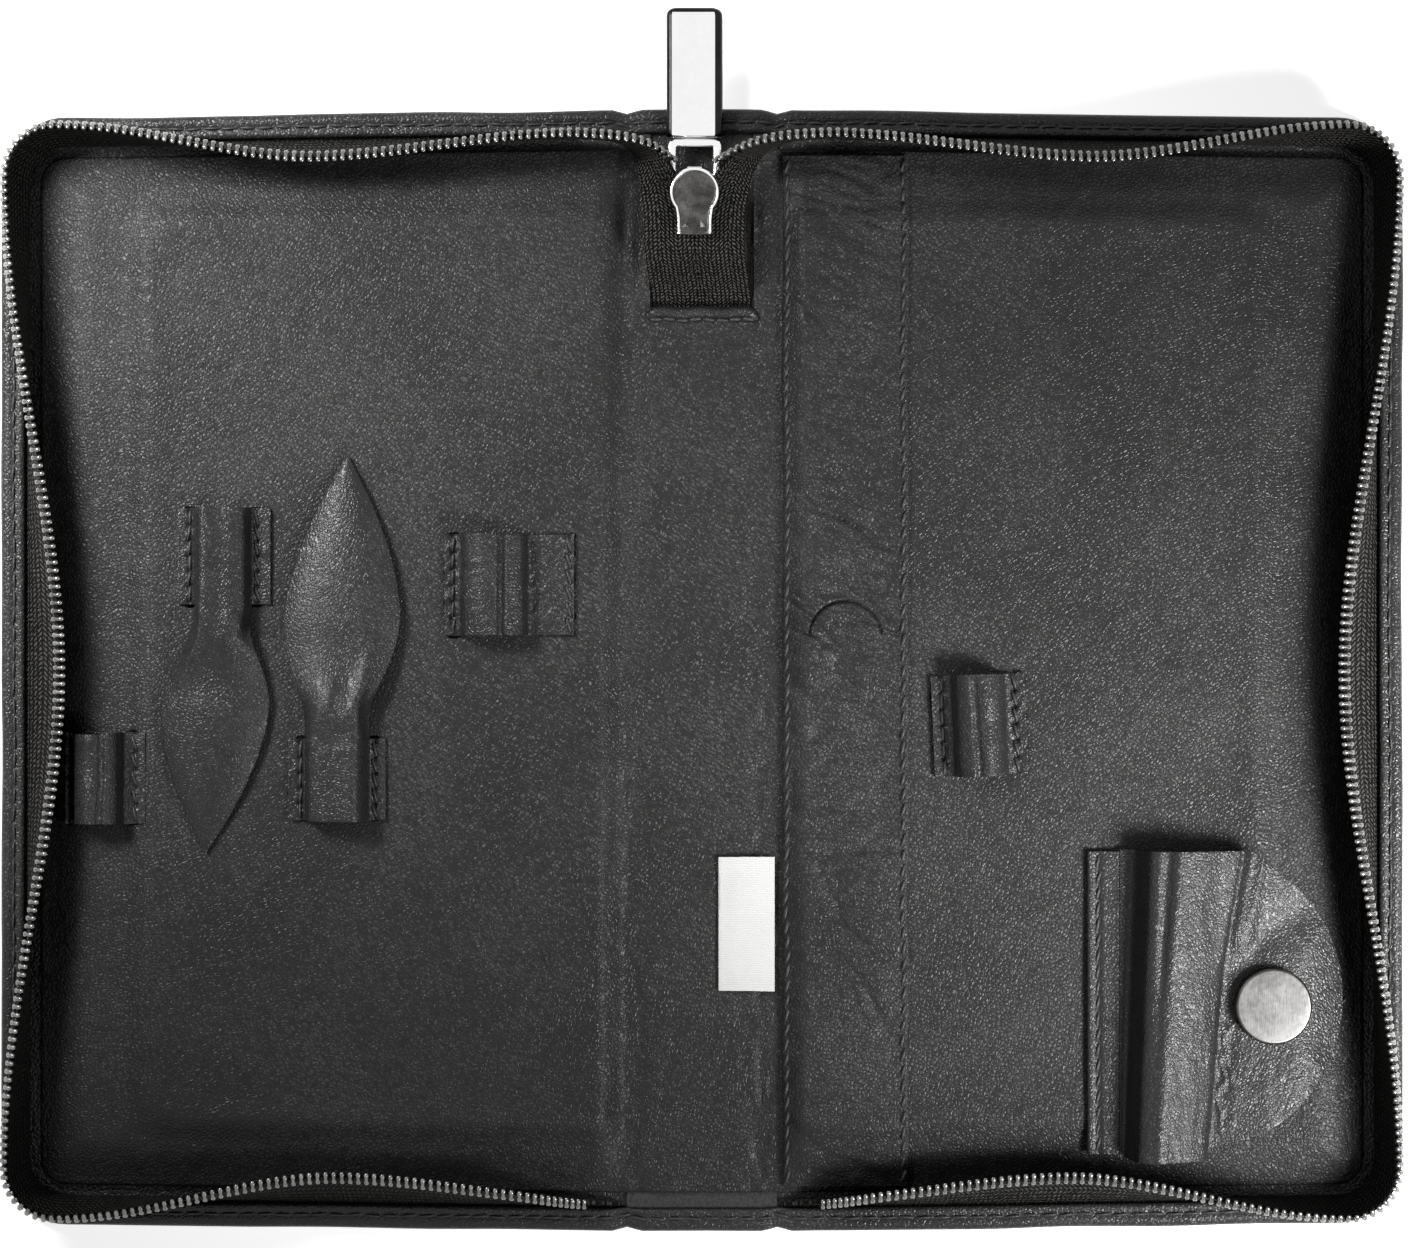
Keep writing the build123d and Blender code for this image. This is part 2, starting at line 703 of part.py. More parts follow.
def tongue(mouth, height, length, width, drift):
    """A pointed leaf of leather along -Y that leaves its loop arched and flattens to its tip."""
    sections = []
    mouth_arch = tongue_mouth_arch * mouth
    for i in range(tongue_sections + 1):
        share = i / tongue_sections
        spread = smooth(share / tongue_belly)
        half = tongue_half(share, mouth, width)
        camber = tongue_camber * 2 * half / width
        arch = mouth_arch + (camber - mouth_arch) * spread
        low = tongue_lift + tongue_sag_lift * spread * (1 - share)
        low += (height - mouth_arch) * (1 - spread)
        shares = [2 * k / tongue_facets - 1 for k in range(tongue_facets + 1)]
        bow = [(drift * share + half * u, low + arch * (1 - u * u)) for u in shares]
        under = [Vector(x, -share * length, z) for x, z in bow]
        over = [v + Vector(0, 0, tongue_leather) for v in reversed(under)]
        sections.append(under + over)
    return skin(sections)


def on_right(from_fold, y):
    """Place on top of the right cover's lining, so far from its fold."""
    return Pos(fold_x + from_fold, y, lining_z)


def on_left(from_fore_edge, y):
    """Place on top of the left cover's lining, so far from its fore edge."""
    return Pos(-fore_x + from_fore_edge, y, lining_z)


def file_pocket():
    """Flat sleeve beside the right fold, with a half-round slit to push a file in."""
    start = fold_x + pocket_fold_gap
    sheet = panel_layer(lining_z, pocket_leather)
    half = case_height / 2 - lining_inset - pocket_end_gap
    keep = Pos(start + pocket_width / 2, 0, lining_z) * Box(pocket_width, 2 * half, big)
    ring = Circle(slit_radius) - Circle(slit_radius - slit_width)
    half_ring = ring & Pos(0, slit_radius) * Rectangle(3 * slit_radius, 2 * slit_radius)
    slit = Pos(start + pocket_width * slit_x_share, slit_y) * extrude(half_ring, big)
    return (sheet & keep) - slit


def flap_profile():
    """Underside of the clipper flap from its hinge outwards, above the lining."""
    crown = flap_tunnel_from + flap_tunnel_width * flap_crown
    rest_from = flap_tunnel_from + flap_tunnel_width
    cap_end = snap_from_hinge + cap_radius + flap_seat_margin
    return [
        (0, flap_lift),
        (flap_tunnel_from, flap_lift),
        (flap_tunnel_from + flap_wall_run, flap_tunnel_height * flap_shoulder),
        (crown, flap_tunnel_height),
        (rest_from, flap_rest_height),
        (cap_end, flap_rest_height),
        (flap_reach, flap_lift),
    ]


def clipper_flap():
    """Half-round flap that forms a tunnel for the clippers and snaps down beyond it."""
    strip = bent_strip(flap_profile(), flap_bends, flap_leather, flap_height)
    tunnel_end = flap_tunnel_from + flap_tunnel_width
    plan = Pos(tunnel_end / 2, 0) * Rectangle(tunnel_end, flap_height)
    plan += Pos(flap_reach - flap_disc_radius, flap_disc_rise) * Circle(flap_disc_radius)
    hole = Pos(snap_from_hinge, 0, 0) * Cylinder(stem_radius + snap_fit, big)
    return (strip & extrude(plan, big)) - hole


def flap_place():
    """Where the flap's hinge line meets the lining."""
    return on_right(cover_width - flap_from_fore_edge, flap_middle_y)


def flap_strip():
    """Stitched strip that the flap grows out of."""
    thickness = flap_leather + flap_lift
    strip = Box(flap_base_width, flap_height, thickness)
    return Pos(-flap_base_width / 2 - flap_strip_gap, 0, thickness / 2) * strip


def turned(points):
    """Solid of revolution about Z from its outline of (radius, height)."""
    return revolve(Plane.XZ * make_face(Polyline(*points, close=True)), Axis.Z)


def snap_cap():
    """Cap of the snap, standing on a narrower neck, with its stem through the flap."""
    base = flap_rest_height + flap_leather
    stem = Pos(0, 0, base - flap_leather / 2) * Cylinder(stem_radius, flap_leather)
    neck_top = base + cap_neck_height
    neck = Pos(0, 0, base + cap_neck_height / 2) * Cylinder(cap_neck_radius, cap_neck_height)
    disc = Pos(0, 0, neck_top + cap_thickness / 2) * Cylinder(cap_radius, cap_thickness)
    disc = chamfer(disc.edges().group_by(Axis.Z)[-1], cap_bevel)
    return Pos(snap_from_hinge, 0, 0) * (stem + neck + disc)


def snap_socket():
    """Socket under the flap: a cup with a bore that closes over the stud."""
    bottom = stud_flange_thickness + snap_fit
    top = flap_rest_height
    bore = stud_radius + snap_fit
    cup = turned(
        [
            (0, top),
            (socket_radius, top),
            (socket_radius, bottom),
            (bore, bottom),
            (bore, top - socket_roof),
            (0, top - socket_roof),
        ]
    )
    return Pos(snap_from_hinge, 0, 0) * cup


def snap_stud():
    """Stud on the lining: a flange with a post."""
    top = flap_rest_height - socket_roof - snap_fit
    post = turned(
        [
            (0, 0),
            (stud_flange_radius, 0),
            (stud_flange_radius, stud_flange_thickness),
            (stud_radius - stud_taper, stud_flange_thickness),
            (stud_radius, top),
            (0, top),
        ]
    )
    return Pos(snap_from_hinge, 0, 0) * post


# ================================ the tools' places on the left cover =============================

# each place is that of the tunnel's edge nearer the left of the open case
pusher_length, pusher_tunnel, pusher_height = 13.6, 5.2, 4.9
pusher_from_fore_edge, pusher_y = 12.8, -16.0
pusher_tab_out, pusher_tab_in = 2.6, 4.2

tweezer_length, tweezer_tunnel, tweezer_height = 15.0, 7.8, 4.6
tweezer_from_fore_edge, tweezer_y = 70.6, 12.9
tweezer_tab_out, tweezer_tab_in = 3.6, 8.0

short_length, short_tunnel, short_height = 14.4, 6.2, 4.6
short_from_fore_edge, short_y = 30.8, 17.2
short_tab_out, short_tab_in = 3.6, 4.0
short_tongue_length, short_tongue_width, short_tongue_drift = 37.0, 16.0, -2.6

long_length, long_tunnel, long_height = 12.2, 7.2, 4.6
long_from_fore_edge, long_y = 47.4, -16.2
long_tab_out, long_tab_in = 3.8, 3.6
long_tongue_length, long_tongue_width, long_tongue_drift = 42.0, 17.4, 1.6

tongue_belly = 0.42  # share of a tongue's length where it is widest
tongue_fullness = 1.7  # how long it stays wide; 1 would be a straight taper
tongue_tip = 0.25  # half width at the tip
tongue_camber = 0.5  # how much the leaf bows across at its widest
tongue_sag_lift = 1.2
tongue_mouth_arch = 0.42  # rise of the arch at the loop, as a share of the mouth
tongue_sections = 12
tongue_facets = 6

cuticle_length, cuticle_tunnel, cuticle_height = 15.2, 5.8, 4.8
cuticle_from_fold, cuticle_y, cuticle_turn = 27.2, -8.0, 2.5
cuticle_tab_out, cuticle_tab_in = 4.2, 4.0


def scissor_tongue(tunnel, height, length, width, drift):
    """Tongue that fits over the mouth of its loop."""
    half_leather = loop_leather / 2
    return tongue(tunnel + loop_leather, height - half_leather, length, width, drift)


def build():
    """Every piece of the case by node name; a list is a group of like pieces in one node."""
    shell, board = cover_shell(), cover_board()
    padding = cover_padding(board)
    lining = panel_layer(lining_z - lining_leather, lining_leather)
    tape, teeth = standing_tape(), standing_teeth()
    pieces = {}
    for side, flip in (("right", False), ("left", True)):
        own = {
            "cover_leather": shell,
            "cover_board": board,
            "cover_padding": padding,
            "cover_lining": lining,
            "zip_tape": tape,
            "zip_teeth": teeth,
        }
        for name, shape in own.items():
            pieces[f"{side}_{name}"] = mirrored(shape) if flip else shape
        sign = -1 if flip else 1
        pieces[f"{side}_zip_turn"] = loose_turn(sign)
        pieces[f"{side}_turn_teeth"] = turn_teeth(sign)
        pieces[f"{side}_zip_tail"] = tail_tape(sign)

    pieces["tail_teeth"] = tail_teeth()
    pieces["spine_leather"] = spine_shell()
    pieces["spine_felt"] = spine_layer(shell_leather, edge_core, slot_y - tail_buried - felt_gap)
    pieces["spine_lining"] = spine_layer(lining_edge_z, lining_leather, slot_y)
    pieces["tail_welt"] = tail_welt()
    pieces["blank_label"] = blank_label()
    pieces["slider_body"] = slider_body()
    pieces["slider_bail"] = slider_bail()
    pieces["pull_link"] = pull_link()
    pieces["pull_grip"] = pull_grip()

    pusher = tool_loop(pusher_tab_out, pusher_tunnel, pusher_tab_in, pusher_height, pusher_length)
    pieces["pusher_loop"] = on_left(pusher_from_fore_edge, pusher_y) * pusher
    tweezer = tool_loop(
        tweezer_tab_out, tweezer_tunnel, tweezer_tab_in, tweezer_height, tweezer_length
    )
    pieces["tweezer_loop"] = on_left(tweezer_from_fore_edge, tweezer_y) * tweezer

    short_loop = tool_loop(short_tab_out, short_tunnel, short_tab_in, short_height, short_length)
    short_leaf = scissor_tongue(
        short_tunnel, short_height, short_tongue_length, short_tongue_width, short_tongue_drift
    )
    short_place = on_left(short_from_fore_edge, short_y)
    pieces["short_scissor_loop"] = short_place * short_loop
    leaf_y = -short_length / 2 - tongue_gap
    pieces["short_scissor_tongue"] = short_place * Pos(short_tunnel / 2, leaf_y, 0) * short_leaf

    long_loop = tool_loop(long_tab_out, long_tunnel, long_tab_in, long_height, long_length)
    long_leaf = scissor_tongue(
        long_tunnel, long_height, long_tongue_length, long_tongue_width, -long_tongue_drift
    )
    long_place = on_left(long_from_fore_edge, long_y)
    pieces["long_scissor_loop"] = long_place * long_loop
    leaf_y = long_length / 2 + tongue_gap
    turned_leaf = Pos(long_tunnel / 2, leaf_y, 0) * Rot(0, 0, 180) * long_leaf
    pieces["long_scissor_tongue"] = long_place * turned_leaf

    cuticle = tool_loop(
        cuticle_tab_in, cuticle_tunnel, cuticle_tab_out, cuticle_height, cuticle_length
    )
    cuticle_place = on_right(cuticle_from_fold, cuticle_y) * Rot(0, 0, cuticle_turn)
    pieces["cuticle_loop"] = cuticle_place * cuticle

    pieces["file_pocket"] = file_pocket()
    pieces["clipper_flap"] = flap_place() * clipper_flap()
    pieces["clipper_flap_strip"] = flap_place() * flap_strip()
    pieces["snap_cap"] = flap_place() * snap_cap()
    pieces["snap_socket"] = flap_place() * snap_socket()
    pieces["snap_stud"] = flap_place() * snap_stud()
    return pieces


def mirrored(shape):
    """The left-hand counterpart of a piece or a list of pieces."""
    if isinstance(shape, list):
        return [mirror(s, Plane.YZ) for s in shape]
    return mirror(shape, Plane.YZ)


def main():
    """Writes one STEP file for each piece."""
    os.makedirs("parts", exist_ok=True)
    for name, shape in build().items():
        whole = Compound(children=shape) if isinstance(shape, list) else shape
        export_step(whole, f"parts/{name}.step")


main()
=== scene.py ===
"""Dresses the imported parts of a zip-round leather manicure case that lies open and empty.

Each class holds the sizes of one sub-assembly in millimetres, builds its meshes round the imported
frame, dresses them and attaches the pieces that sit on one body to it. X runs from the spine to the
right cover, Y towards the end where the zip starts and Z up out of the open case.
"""

import logging
import math
from dataclasses import dataclass, field
from enum import Enum
from typing import Any, Callable, Optional, Sequence

import bmesh
import bpy
import numpy as np
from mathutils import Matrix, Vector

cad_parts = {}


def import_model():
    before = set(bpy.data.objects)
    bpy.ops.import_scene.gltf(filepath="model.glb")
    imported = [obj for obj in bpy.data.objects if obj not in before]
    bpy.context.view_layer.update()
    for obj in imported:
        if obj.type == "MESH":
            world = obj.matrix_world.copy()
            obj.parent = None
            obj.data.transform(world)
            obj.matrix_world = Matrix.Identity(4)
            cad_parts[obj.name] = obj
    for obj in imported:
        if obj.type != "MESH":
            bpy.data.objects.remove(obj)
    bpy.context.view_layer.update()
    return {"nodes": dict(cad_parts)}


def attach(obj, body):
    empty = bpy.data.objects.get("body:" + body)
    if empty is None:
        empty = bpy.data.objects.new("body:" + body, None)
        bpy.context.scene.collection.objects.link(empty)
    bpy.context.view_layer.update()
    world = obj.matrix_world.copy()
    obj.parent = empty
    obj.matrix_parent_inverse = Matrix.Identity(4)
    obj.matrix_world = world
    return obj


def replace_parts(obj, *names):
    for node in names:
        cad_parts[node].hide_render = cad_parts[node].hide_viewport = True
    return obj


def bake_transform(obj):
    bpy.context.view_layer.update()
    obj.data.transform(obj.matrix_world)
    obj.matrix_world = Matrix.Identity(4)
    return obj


LOG = logging.getLogger("manicure_case")
MM = 0.001
UP = np.array([0.0, 0.0, 1.0])
Array = np.ndarray
Material = bpy.types.Material
Piece = bpy.types.Object
Socket = bpy.types.NodeSocket
SocketValue = Any
Tree = bpy.types.NodeTree
RGB = tuple[float, float, float]
Point = tuple[float, float, float]
Profile = Sequence[tuple[float, float]]


class Side(Enum):
    """The two covers of the open case."""

    LEFT = -1
    RIGHT = 1

    @property
    def word(self) -> str:
        """The side's name as node names spell it."""
        return self.name.lower()

    @property
    def body(self) -> str:
        """The cover's body in the frame."""
        return f"{self.word}_cover"


# ------------------------------ numbers along curves and surfaces ------------------------------


def smooth(t: Any) -> Any:
    """Rises from 0 to 1 with a level start and end."""
    t = np.clip(t, 0.0, 1.0)
    return t * t * (3 - 2 * t)


def window(x: Array, middle: float, half_width: float) -> Array:
    """A bump of height 1 round a middle value, gone at half_width from it."""
    return smooth(1 - np.abs(x - middle) / half_width)


def bell(x: Array, width: float) -> Array:
    """A bump of height 1 round 0, with a tail beyond its width."""
    return np.exp(-((x / width) ** 2))


def noise(p: Array, seed: int) -> Array:
    """Smooth noise from -1 to 1.

    Args:
        p: Points of shape (..., 2), one noise cell apart per unit.
        seed: Which of the endless noises to use.

    Returns:
        One value a point.
    """
    cell = np.floor(p).astype(np.int64)
    f = p - cell
    f = f * f * (3 - 2 * f)

    def corner(i: int, j: int) -> Array:
        h = (cell[..., 0] + i) * 374761393 + (cell[..., 1] + j) * 668265263 + seed * 974711
        h = (h ^ (h >> 13)) * 1274126177
        return ((h ^ (h >> 16)) & 0xFFFF) / 32767.5 - 1

    low = corner(0, 0) * (1 - f[..., 0]) + corner(1, 0) * f[..., 0]
    high = corner(0, 1) * (1 - f[..., 0]) + corner(1, 1) * f[..., 0]
    return low * (1 - f[..., 1]) + high * f[..., 1]


def rounding(gap: Array, radius: float) -> Array:
    """How far a surface drops at a distance from an edge that is rounded to a radius."""
    past = np.clip(radius - gap, 0, radius)
    return radius - np.sqrt(np.maximum(radius**2 - past**2, 0))


def ripple(v: Array, length: float, seed: int) -> Array:
    """Smooth noise along one value, from -1 to 1."""
    return noise(np.stack([v / length, v * 0], -1), seed)


def creases(p: Array, angle: float, length: float, width: float, seed: int, sharp: float = 3.0) -> Array:
    """Sharp-crested folds that run along an angle, from 0 to 1.

    Args:
        p: Points of shape (..., 2), in millimetres.
        angle: Direction of the folds from the first axis, in degrees.
        length: How long a fold is.
        width: How far apart the folds are.
        seed: Seed of the noise.
        sharp: How thin the crests are.

    Returns:
        Height of the folds at each point.
    """
    c, s = math.cos(math.radians(angle)), math.sin(math.radians(angle))
    along, across = p[..., 0] * c + p[..., 1] * s, p[..., 1] * c - p[..., 0] * s
    q = np.stack([along / length, across / width], -1)
    bend = 0.6 * noise(q * np.array([1.7, 0.6]) + 7.3, seed + 5)
    q = q + np.stack([np.zeros_like(bend), bend], -1)
    first = 1 - np.abs(noise(q, seed))
    second = 1 - np.abs(noise(q * 2.1 + 3.7, seed + 1))
    return (first**sharp + 0.45 * second**sharp) / 1.45


def through(points: Sequence[Sequence[float]], count: int) -> Array:
    """Evenly spaced points on a smooth curve through the given ones."""
    p = np.array(points, float)
    p = np.vstack([2 * p[0] - p[1], p, 2 * p[-1] - p[-2]])
    t = np.linspace(0, 1, 24, endpoint=False)[:, None]
    parts = []
    for a, b, c, d in zip(p, p[1:], p[2:], p[3:]):
        parts.append(
            0.5 * (2 * b + (c - a) * t + (2 * a - 5 * b + 4 * c - d) * t**2 + (3 * b - a - 3 * c + d) * t**3)
        )
    return evenly(np.vstack(parts + [p[-2:-1]]), count)


def walked(line: Array) -> Array:
    """Distance along a line of points to each of them."""
    return np.concatenate([[0.0], np.cumsum(np.linalg.norm(np.diff(line, axis=0), axis=1))])


def evenly(line: Array, count: int) -> Array:
    """A line of points walked again in count equal steps."""
    along = walked(line)
    return sampled(line, along, np.linspace(0, along[-1], count + 1))


def sampled(values: Array, along: Array, at: Array) -> Array:
    """Rows of values read at distances at, where along holds the distance of each row."""
    return np.stack([np.interp(at, along, values[:, k]) for k in range(values.shape[1])], 1)


def stops(line: Array, at: Array) -> tuple[Array, Array]:
    """Points of a line at distances along it, and the directions of travel there."""
    along = walked(line)
    return sampled(line, along, at), unit(sampled(headings(line), along, at))


def unit(v: Array) -> Array:
    """Vectors of length 1 along the given ones."""
    return v / np.maximum(np.linalg.norm(v, axis=-1, keepdims=True), 1e-12)


def headings(line: Array, closed: bool = False) -> Array:
    """Direction of travel at each point of a line."""
    if closed:
        return unit(np.roll(line, -1, 0) - np.roll(line, 1, 0))
    return unit(np.gradient(line, axis=0))


def bezier(points: Sequence[Sequence[float]], t: Array) -> Array:
    """Points at t on the cubic curve with these four control points."""
    a, b, c, d = np.array(points, float)
    t = t[:, None]
    s = 1 - t
    return a * s**3 + b * (3 * s * s * t) + c * (3 * s * t * t) + d * t**3


def level(flat: Array, z: SocketValue) -> Array:
    """Points of a plan at height z."""
    return np.column_stack([flat, np.broadcast_to(z, len(flat))])


def extruded(line: Array, ys: Array) -> Array:
    """Grid that runs a line of (x, z) along Y."""
    grid = np.zeros((len(ys), len(line), 3))
    grid[..., 0], grid[..., 1], grid[..., 2] = line[None, :, 0], ys[:, None], line[None, :, 1]
    return grid


def coons(left: Array, right: Array, bottom: Array, top: Array) -> Array:
    """Grid of points that fits four sides; rows run from bottom to top, columns from left to right."""
    u = np.linspace(0, 1, len(bottom))[None, :, None]
    v = np.linspace(0, 1, len(left))[:, None, None]
    ruled = (1 - v) * bottom[None] + v * top[None] + (1 - u) * left[:, None] + u * right[:, None]
    corners = (1 - v) * ((1 - u) * bottom[0] + u * bottom[-1]) + v * ((1 - u) * top[0] + u * top[-1])
    return ruled - corners


# ------------------------------ meshes ------------------------------


def stand(name: str, data: Any) -> Piece:
    """Makes an object of a mesh, a camera or a lamp, linked to the scene."""
    obj = bpy.data.objects.new(name, data)
    bpy.context.scene.collection.objects.link(obj)
    return obj


@dataclass
class Surface:
    """Points and faces of one piece, in millimetres, gathered before they become a mesh."""

    points: list[Array] = field(default_factory=list)
    places: list[Array] = field(default_factory=list)
    faces: list[list[int]] = field(default_factory=list)
    count: int = 0

    def grid(
        self,
        points: Array,
        keep: Optional[Array] = None,
        round_rows: bool = False,
        round_columns: bool = False,
        place: Optional[Array] = None,
    ) -> "Surface":
        """Adds a grid of four-sided faces.

        Args:
            points: Array of shape (rows, columns, 3).
            keep: Which of the grid's cells have a face.
            round_rows: Joins the last row to the first.
            round_columns: Joins the last column to the first.
            place: Place of each point on the cloth, in millimetres, of shape (rows, columns, 2).

        Returns:
            The surface itself.
        """
        rows, columns = points.shape[:2]
        index = np.arange(rows * columns).reshape(rows, columns) + self.count
        if round_rows:
            index = np.vstack([index, index[:1]])
        if round_columns:
            index = np.hstack([index, index[:, :1]])
        quads = np.stack([index[:-1, :-1], index[:-1, 1:], index[1:, 1:], index[1:, :-1]], -1)
        if keep is not None:
            quads = quads[keep]
        self.faces += quads.reshape(-1, 4).tolist()
        self.points.append(points.reshape(-1, 3))
        self.places.append(np.zeros((rows * columns, 2)) if place is None else place.reshape(-1, 2))
        self.count += rows * columns
        return self

    def turned(self) -> "Surface":
        """Turns every face over."""
        self.faces = [face[::-1] for face in self.faces]
        return self

    def moved(self, shift: Callable[[Array], Array]) -> "Surface":
        """Changes every point by a rule that takes and gives an array of points."""
        self.points = [shift(block) for block in self.points]
        return self

    def piece(self, name: str, crease: float = 180.0, close: bool = False, turn: bool = False) -> Piece:
        """Makes the object.

        Args:
            name: Name of the piece.
            crease: Angle in degrees above which an edge stays sharp.
            close: Fills the holes that are left.
            turn: Works out afresh which way the faces point.

        Returns:
            The object, linked to the scene.
        """
        mesh = bpy.data.meshes.new(name)
        mesh.from_pydata((np.vstack(self.points) * MM).tolist(), [], self.faces)
        cloth = mesh.uv_layers.new(name="cloth")
        corner = np.zeros(len(mesh.loops), np.int32)
        mesh.loops.foreach_get("vertex_index", corner)
        cloth.data.foreach_set("uv", (np.vstack(self.places)[corner] * MM).astype(np.float32).ravel())
        obj = stand(name, mesh)
        weld(obj, close, turn)
        mesh.shade_smooth()
        if crease < 180:
            mesh.set_sharp_from_angle(angle=math.radians(crease))
        return obj


def weld(obj: Piece, close: bool, turn: bool) -> None:
    """Joins points that coincide, and closes holes and turns faces outwards where asked."""
    work = bmesh.new()
    work.from_mesh(obj.data)
    bmesh.ops.remove_doubles(work, verts=work.verts, dist=1e-6)
    bmesh.ops.dissolve_degenerate(work, edges=work.edges, dist=1e-7)
    if close:
        rims = [e for e in work.edges if e.is_boundary]
        bmesh.ops.holes_fill(work, edges=rims, sides=0)
    if turn:
        bmesh.ops.recalc_face_normals(work, faces=work.faces)
    work.to_mesh(obj.data)
    work.free()


def bake(obj: Piece) -> Piece:
    """Turns an object's modifiers into a plain mesh."""
    graph = bpy.context.evaluated_depsgraph_get()
    mesh = bpy.data.meshes.new_from_object(
        obj.evaluated_get(graph), preserve_all_data_layers=True, depsgraph=graph
    )
    obj.modifiers.clear()
    old, obj.data = obj.data, mesh
    bpy.data.meshes.remove(old)
    return obj


def painted(obj: Piece, finish: Material, thickness: float, edge: float) -> Piece:
    """Gives a leather sheet its thickness, its finish and near-black edges: edge paint that also serves as a painted
    shade line round the piece.
    """
    dress(obj, finish, bpy.data.materials["painted_edge"])
    return thicken(obj, thickness, -1.0, edge)


def thicken(obj: Piece, thickness: float, offset: float = -1.0, edge: float = 0.0) -> Piece:
    """Gives a single sheet its thickness and rounds its edges.

    Args:
        obj: The sheet; its faces point to the side that stays in place.
        thickness: Thickness in millimetres.
        offset: -1 grows it behind the faces, 0 to both sides.
        edge: Width of the rounding, in millimetres; 0 leaves the edges square.

    Returns:
        The same object as a plain closed mesh.
    """
    shell = obj.modifiers.new("thickness", "SOLIDIFY")
    shell.thickness, shell.offset = thickness * MM, offset
    if edge:
        # Rim and bevel faces take the second material, the near-black edge finish that is partly edge paint and partly
        # a painted shade line.
        shell.material_offset_rim = 1
        bevel = obj.modifiers.new("cut edge", "BEVEL")
        bevel.material = 1
        bevel.width, bevel.segments = edge * MM, 2
        bevel.limit_method, bevel.angle_limit = "ANGLE", math.radians(55)
    bake(obj)
    obj.data.shade_smooth()
    obj.data.set_sharp_from_angle(angle=math.radians(52))
    return obj


def dress(obj: Piece, *finishes: Material) -> Piece:
    """Gives a piece its materials, the first of them for every face that has no other."""
    obj.data.materials.clear()
    for finish in finishes:
        obj.data.materials.append(finish)
    return obj


def ride_or_fold(obj: Piece) -> Piece:
    """Bakes into its mesh the place of a piece that crosses a fold; the piece rides on no body and does not bend
    there.
    """
    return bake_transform(obj)


# ------------------------------ finishes ------------------------------


class NodePad:
    """Adds the nodes of one tree and joins them."""

    def __init__(self, tree: Tree) -> None:
        """Keeps the tree that the nodes go into."""
        self.tree = tree

    def node(self, kind: str, inputs: Optional[dict[Any, SocketValue]] = None, **settings: Any) -> bpy.types.Node:
        """Adds a node.

        Args:
            kind: Blender's name for the kind of node.
            inputs: Values or sockets for its inputs, by name or number.
            **settings: The node's own settings.

        Returns:
            The node.
        """
        made = self.tree.nodes.new(kind)
        for key, value in settings.items():
            setattr(made, key, value)
        for key, value in (inputs or {}).items():
            self.feed(made.inputs[key], value)
        return made

    def feed(self, socket: Socket, value: SocketValue) -> None:
        """Joins a socket to an input, or sets the input's plain value."""
        if isinstance(value, Socket):
            self.tree.links.new(value, socket)
        else:
            socket.default_value = value

    def math(self, operation: str, a: SocketValue, b: SocketValue = 0.0) -> Socket:
        """Output of a math node on two values."""
        return self.node("ShaderNodeMath", {0: a, 1: b}, operation=operation).outputs[0]

    def plus(self, a: SocketValue, b: SocketValue) -> Socket:
        """Sum of two values."""
        return self.math("ADD", a, b)

    def times(self, a: SocketValue, b: SocketValue) -> Socket:
        """Product of two values."""
        return self.math("MULTIPLY", a, b)

    def between(self, value: SocketValue, low: float, high: float, start: float = 0.0, end: float = 1.0) -> Socket:
        """Maps a value from one range to another, held at its ends, with a soft start and end."""
        sockets = {0: value, 1: low, 2: high, 3: start, 4: end}
        return self.node("ShaderNodeMapRange", sockets, interpolation_type="SMOOTHSTEP").outputs[0]

    def tint(self, factor: SocketValue, a: RGB, b: RGB) -> Socket:
        """Mix of two colours."""
        return self.node("ShaderNodeMix", {0: factor, 6: (*a, 1.0), 7: (*b, 1.0)}, data_type="RGBA").outputs[2]

    def cloud(self, place: Socket, scale: SocketValue, detail: float = 2.0) -> Any:
        """Outputs of a noise texture."""
        return self.node("ShaderNodeTexNoise", {"Vector": place, "Scale": scale, "Detail": detail}).outputs

    def object_place(self) -> Socket:
        """The object's own coordinates, in metres."""
        return self.node("ShaderNodeTexCoord").outputs["Object"]

    def cloth_place(self) -> Socket:
        """The piece's place on its cloth, in metres."""
        return self.node("ShaderNodeUVMap", uv_map="cloth").outputs[0]

    def seen(self) -> Socket:
        """1 where the camera sees the surface, also in a reflection or through glass, and 0 elsewhere."""
        rays = self.node("ShaderNodeLightPath").outputs
        indirect = self.math("MAXIMUM", rays["Is Glossy Ray"], rays["Is Transmission Ray"])
        return self.math("MAXIMUM", rays["Is Camera Ray"], indirect)

    def group(self, name: str, fill: Callable[["NodePad", Any], dict], place: Socket, **inputs: float) -> Any:
        """Adds a node group, and builds it where it is used for the first time.

        Args:
            name: Name of the group.
            fill: Adds the group's nodes and returns the socket for each of its outputs.
            place: The point on the surface, for the group's input Place.
            **inputs: Values of its other inputs.

        Returns:
            The outputs of the node.
        """
        tree = bpy.data.node_groups.get(name)
        if not tree:
            tree = bpy.data.node_groups.new(name, "ShaderNodeTree")
            tree.interface.new_socket(name="Place", in_out="INPUT", socket_type="NodeSocketVector")
            for key, value in inputs.items():
                socket = tree.interface.new_socket(name=key, in_out="INPUT", socket_type="NodeSocketFloat")
                socket.default_value = value
            pad = NodePad(tree)
            made = fill(pad, pad.node("NodeGroupInput").outputs)
            for key in made:
                tree.interface.new_socket(name=key, in_out="OUTPUT", socket_type="NodeSocketFloat")
            pad.node("NodeGroupOutput", made)
        return self.node("ShaderNodeGroup", {"Place": place, **inputs}, node_tree=tree).outputs


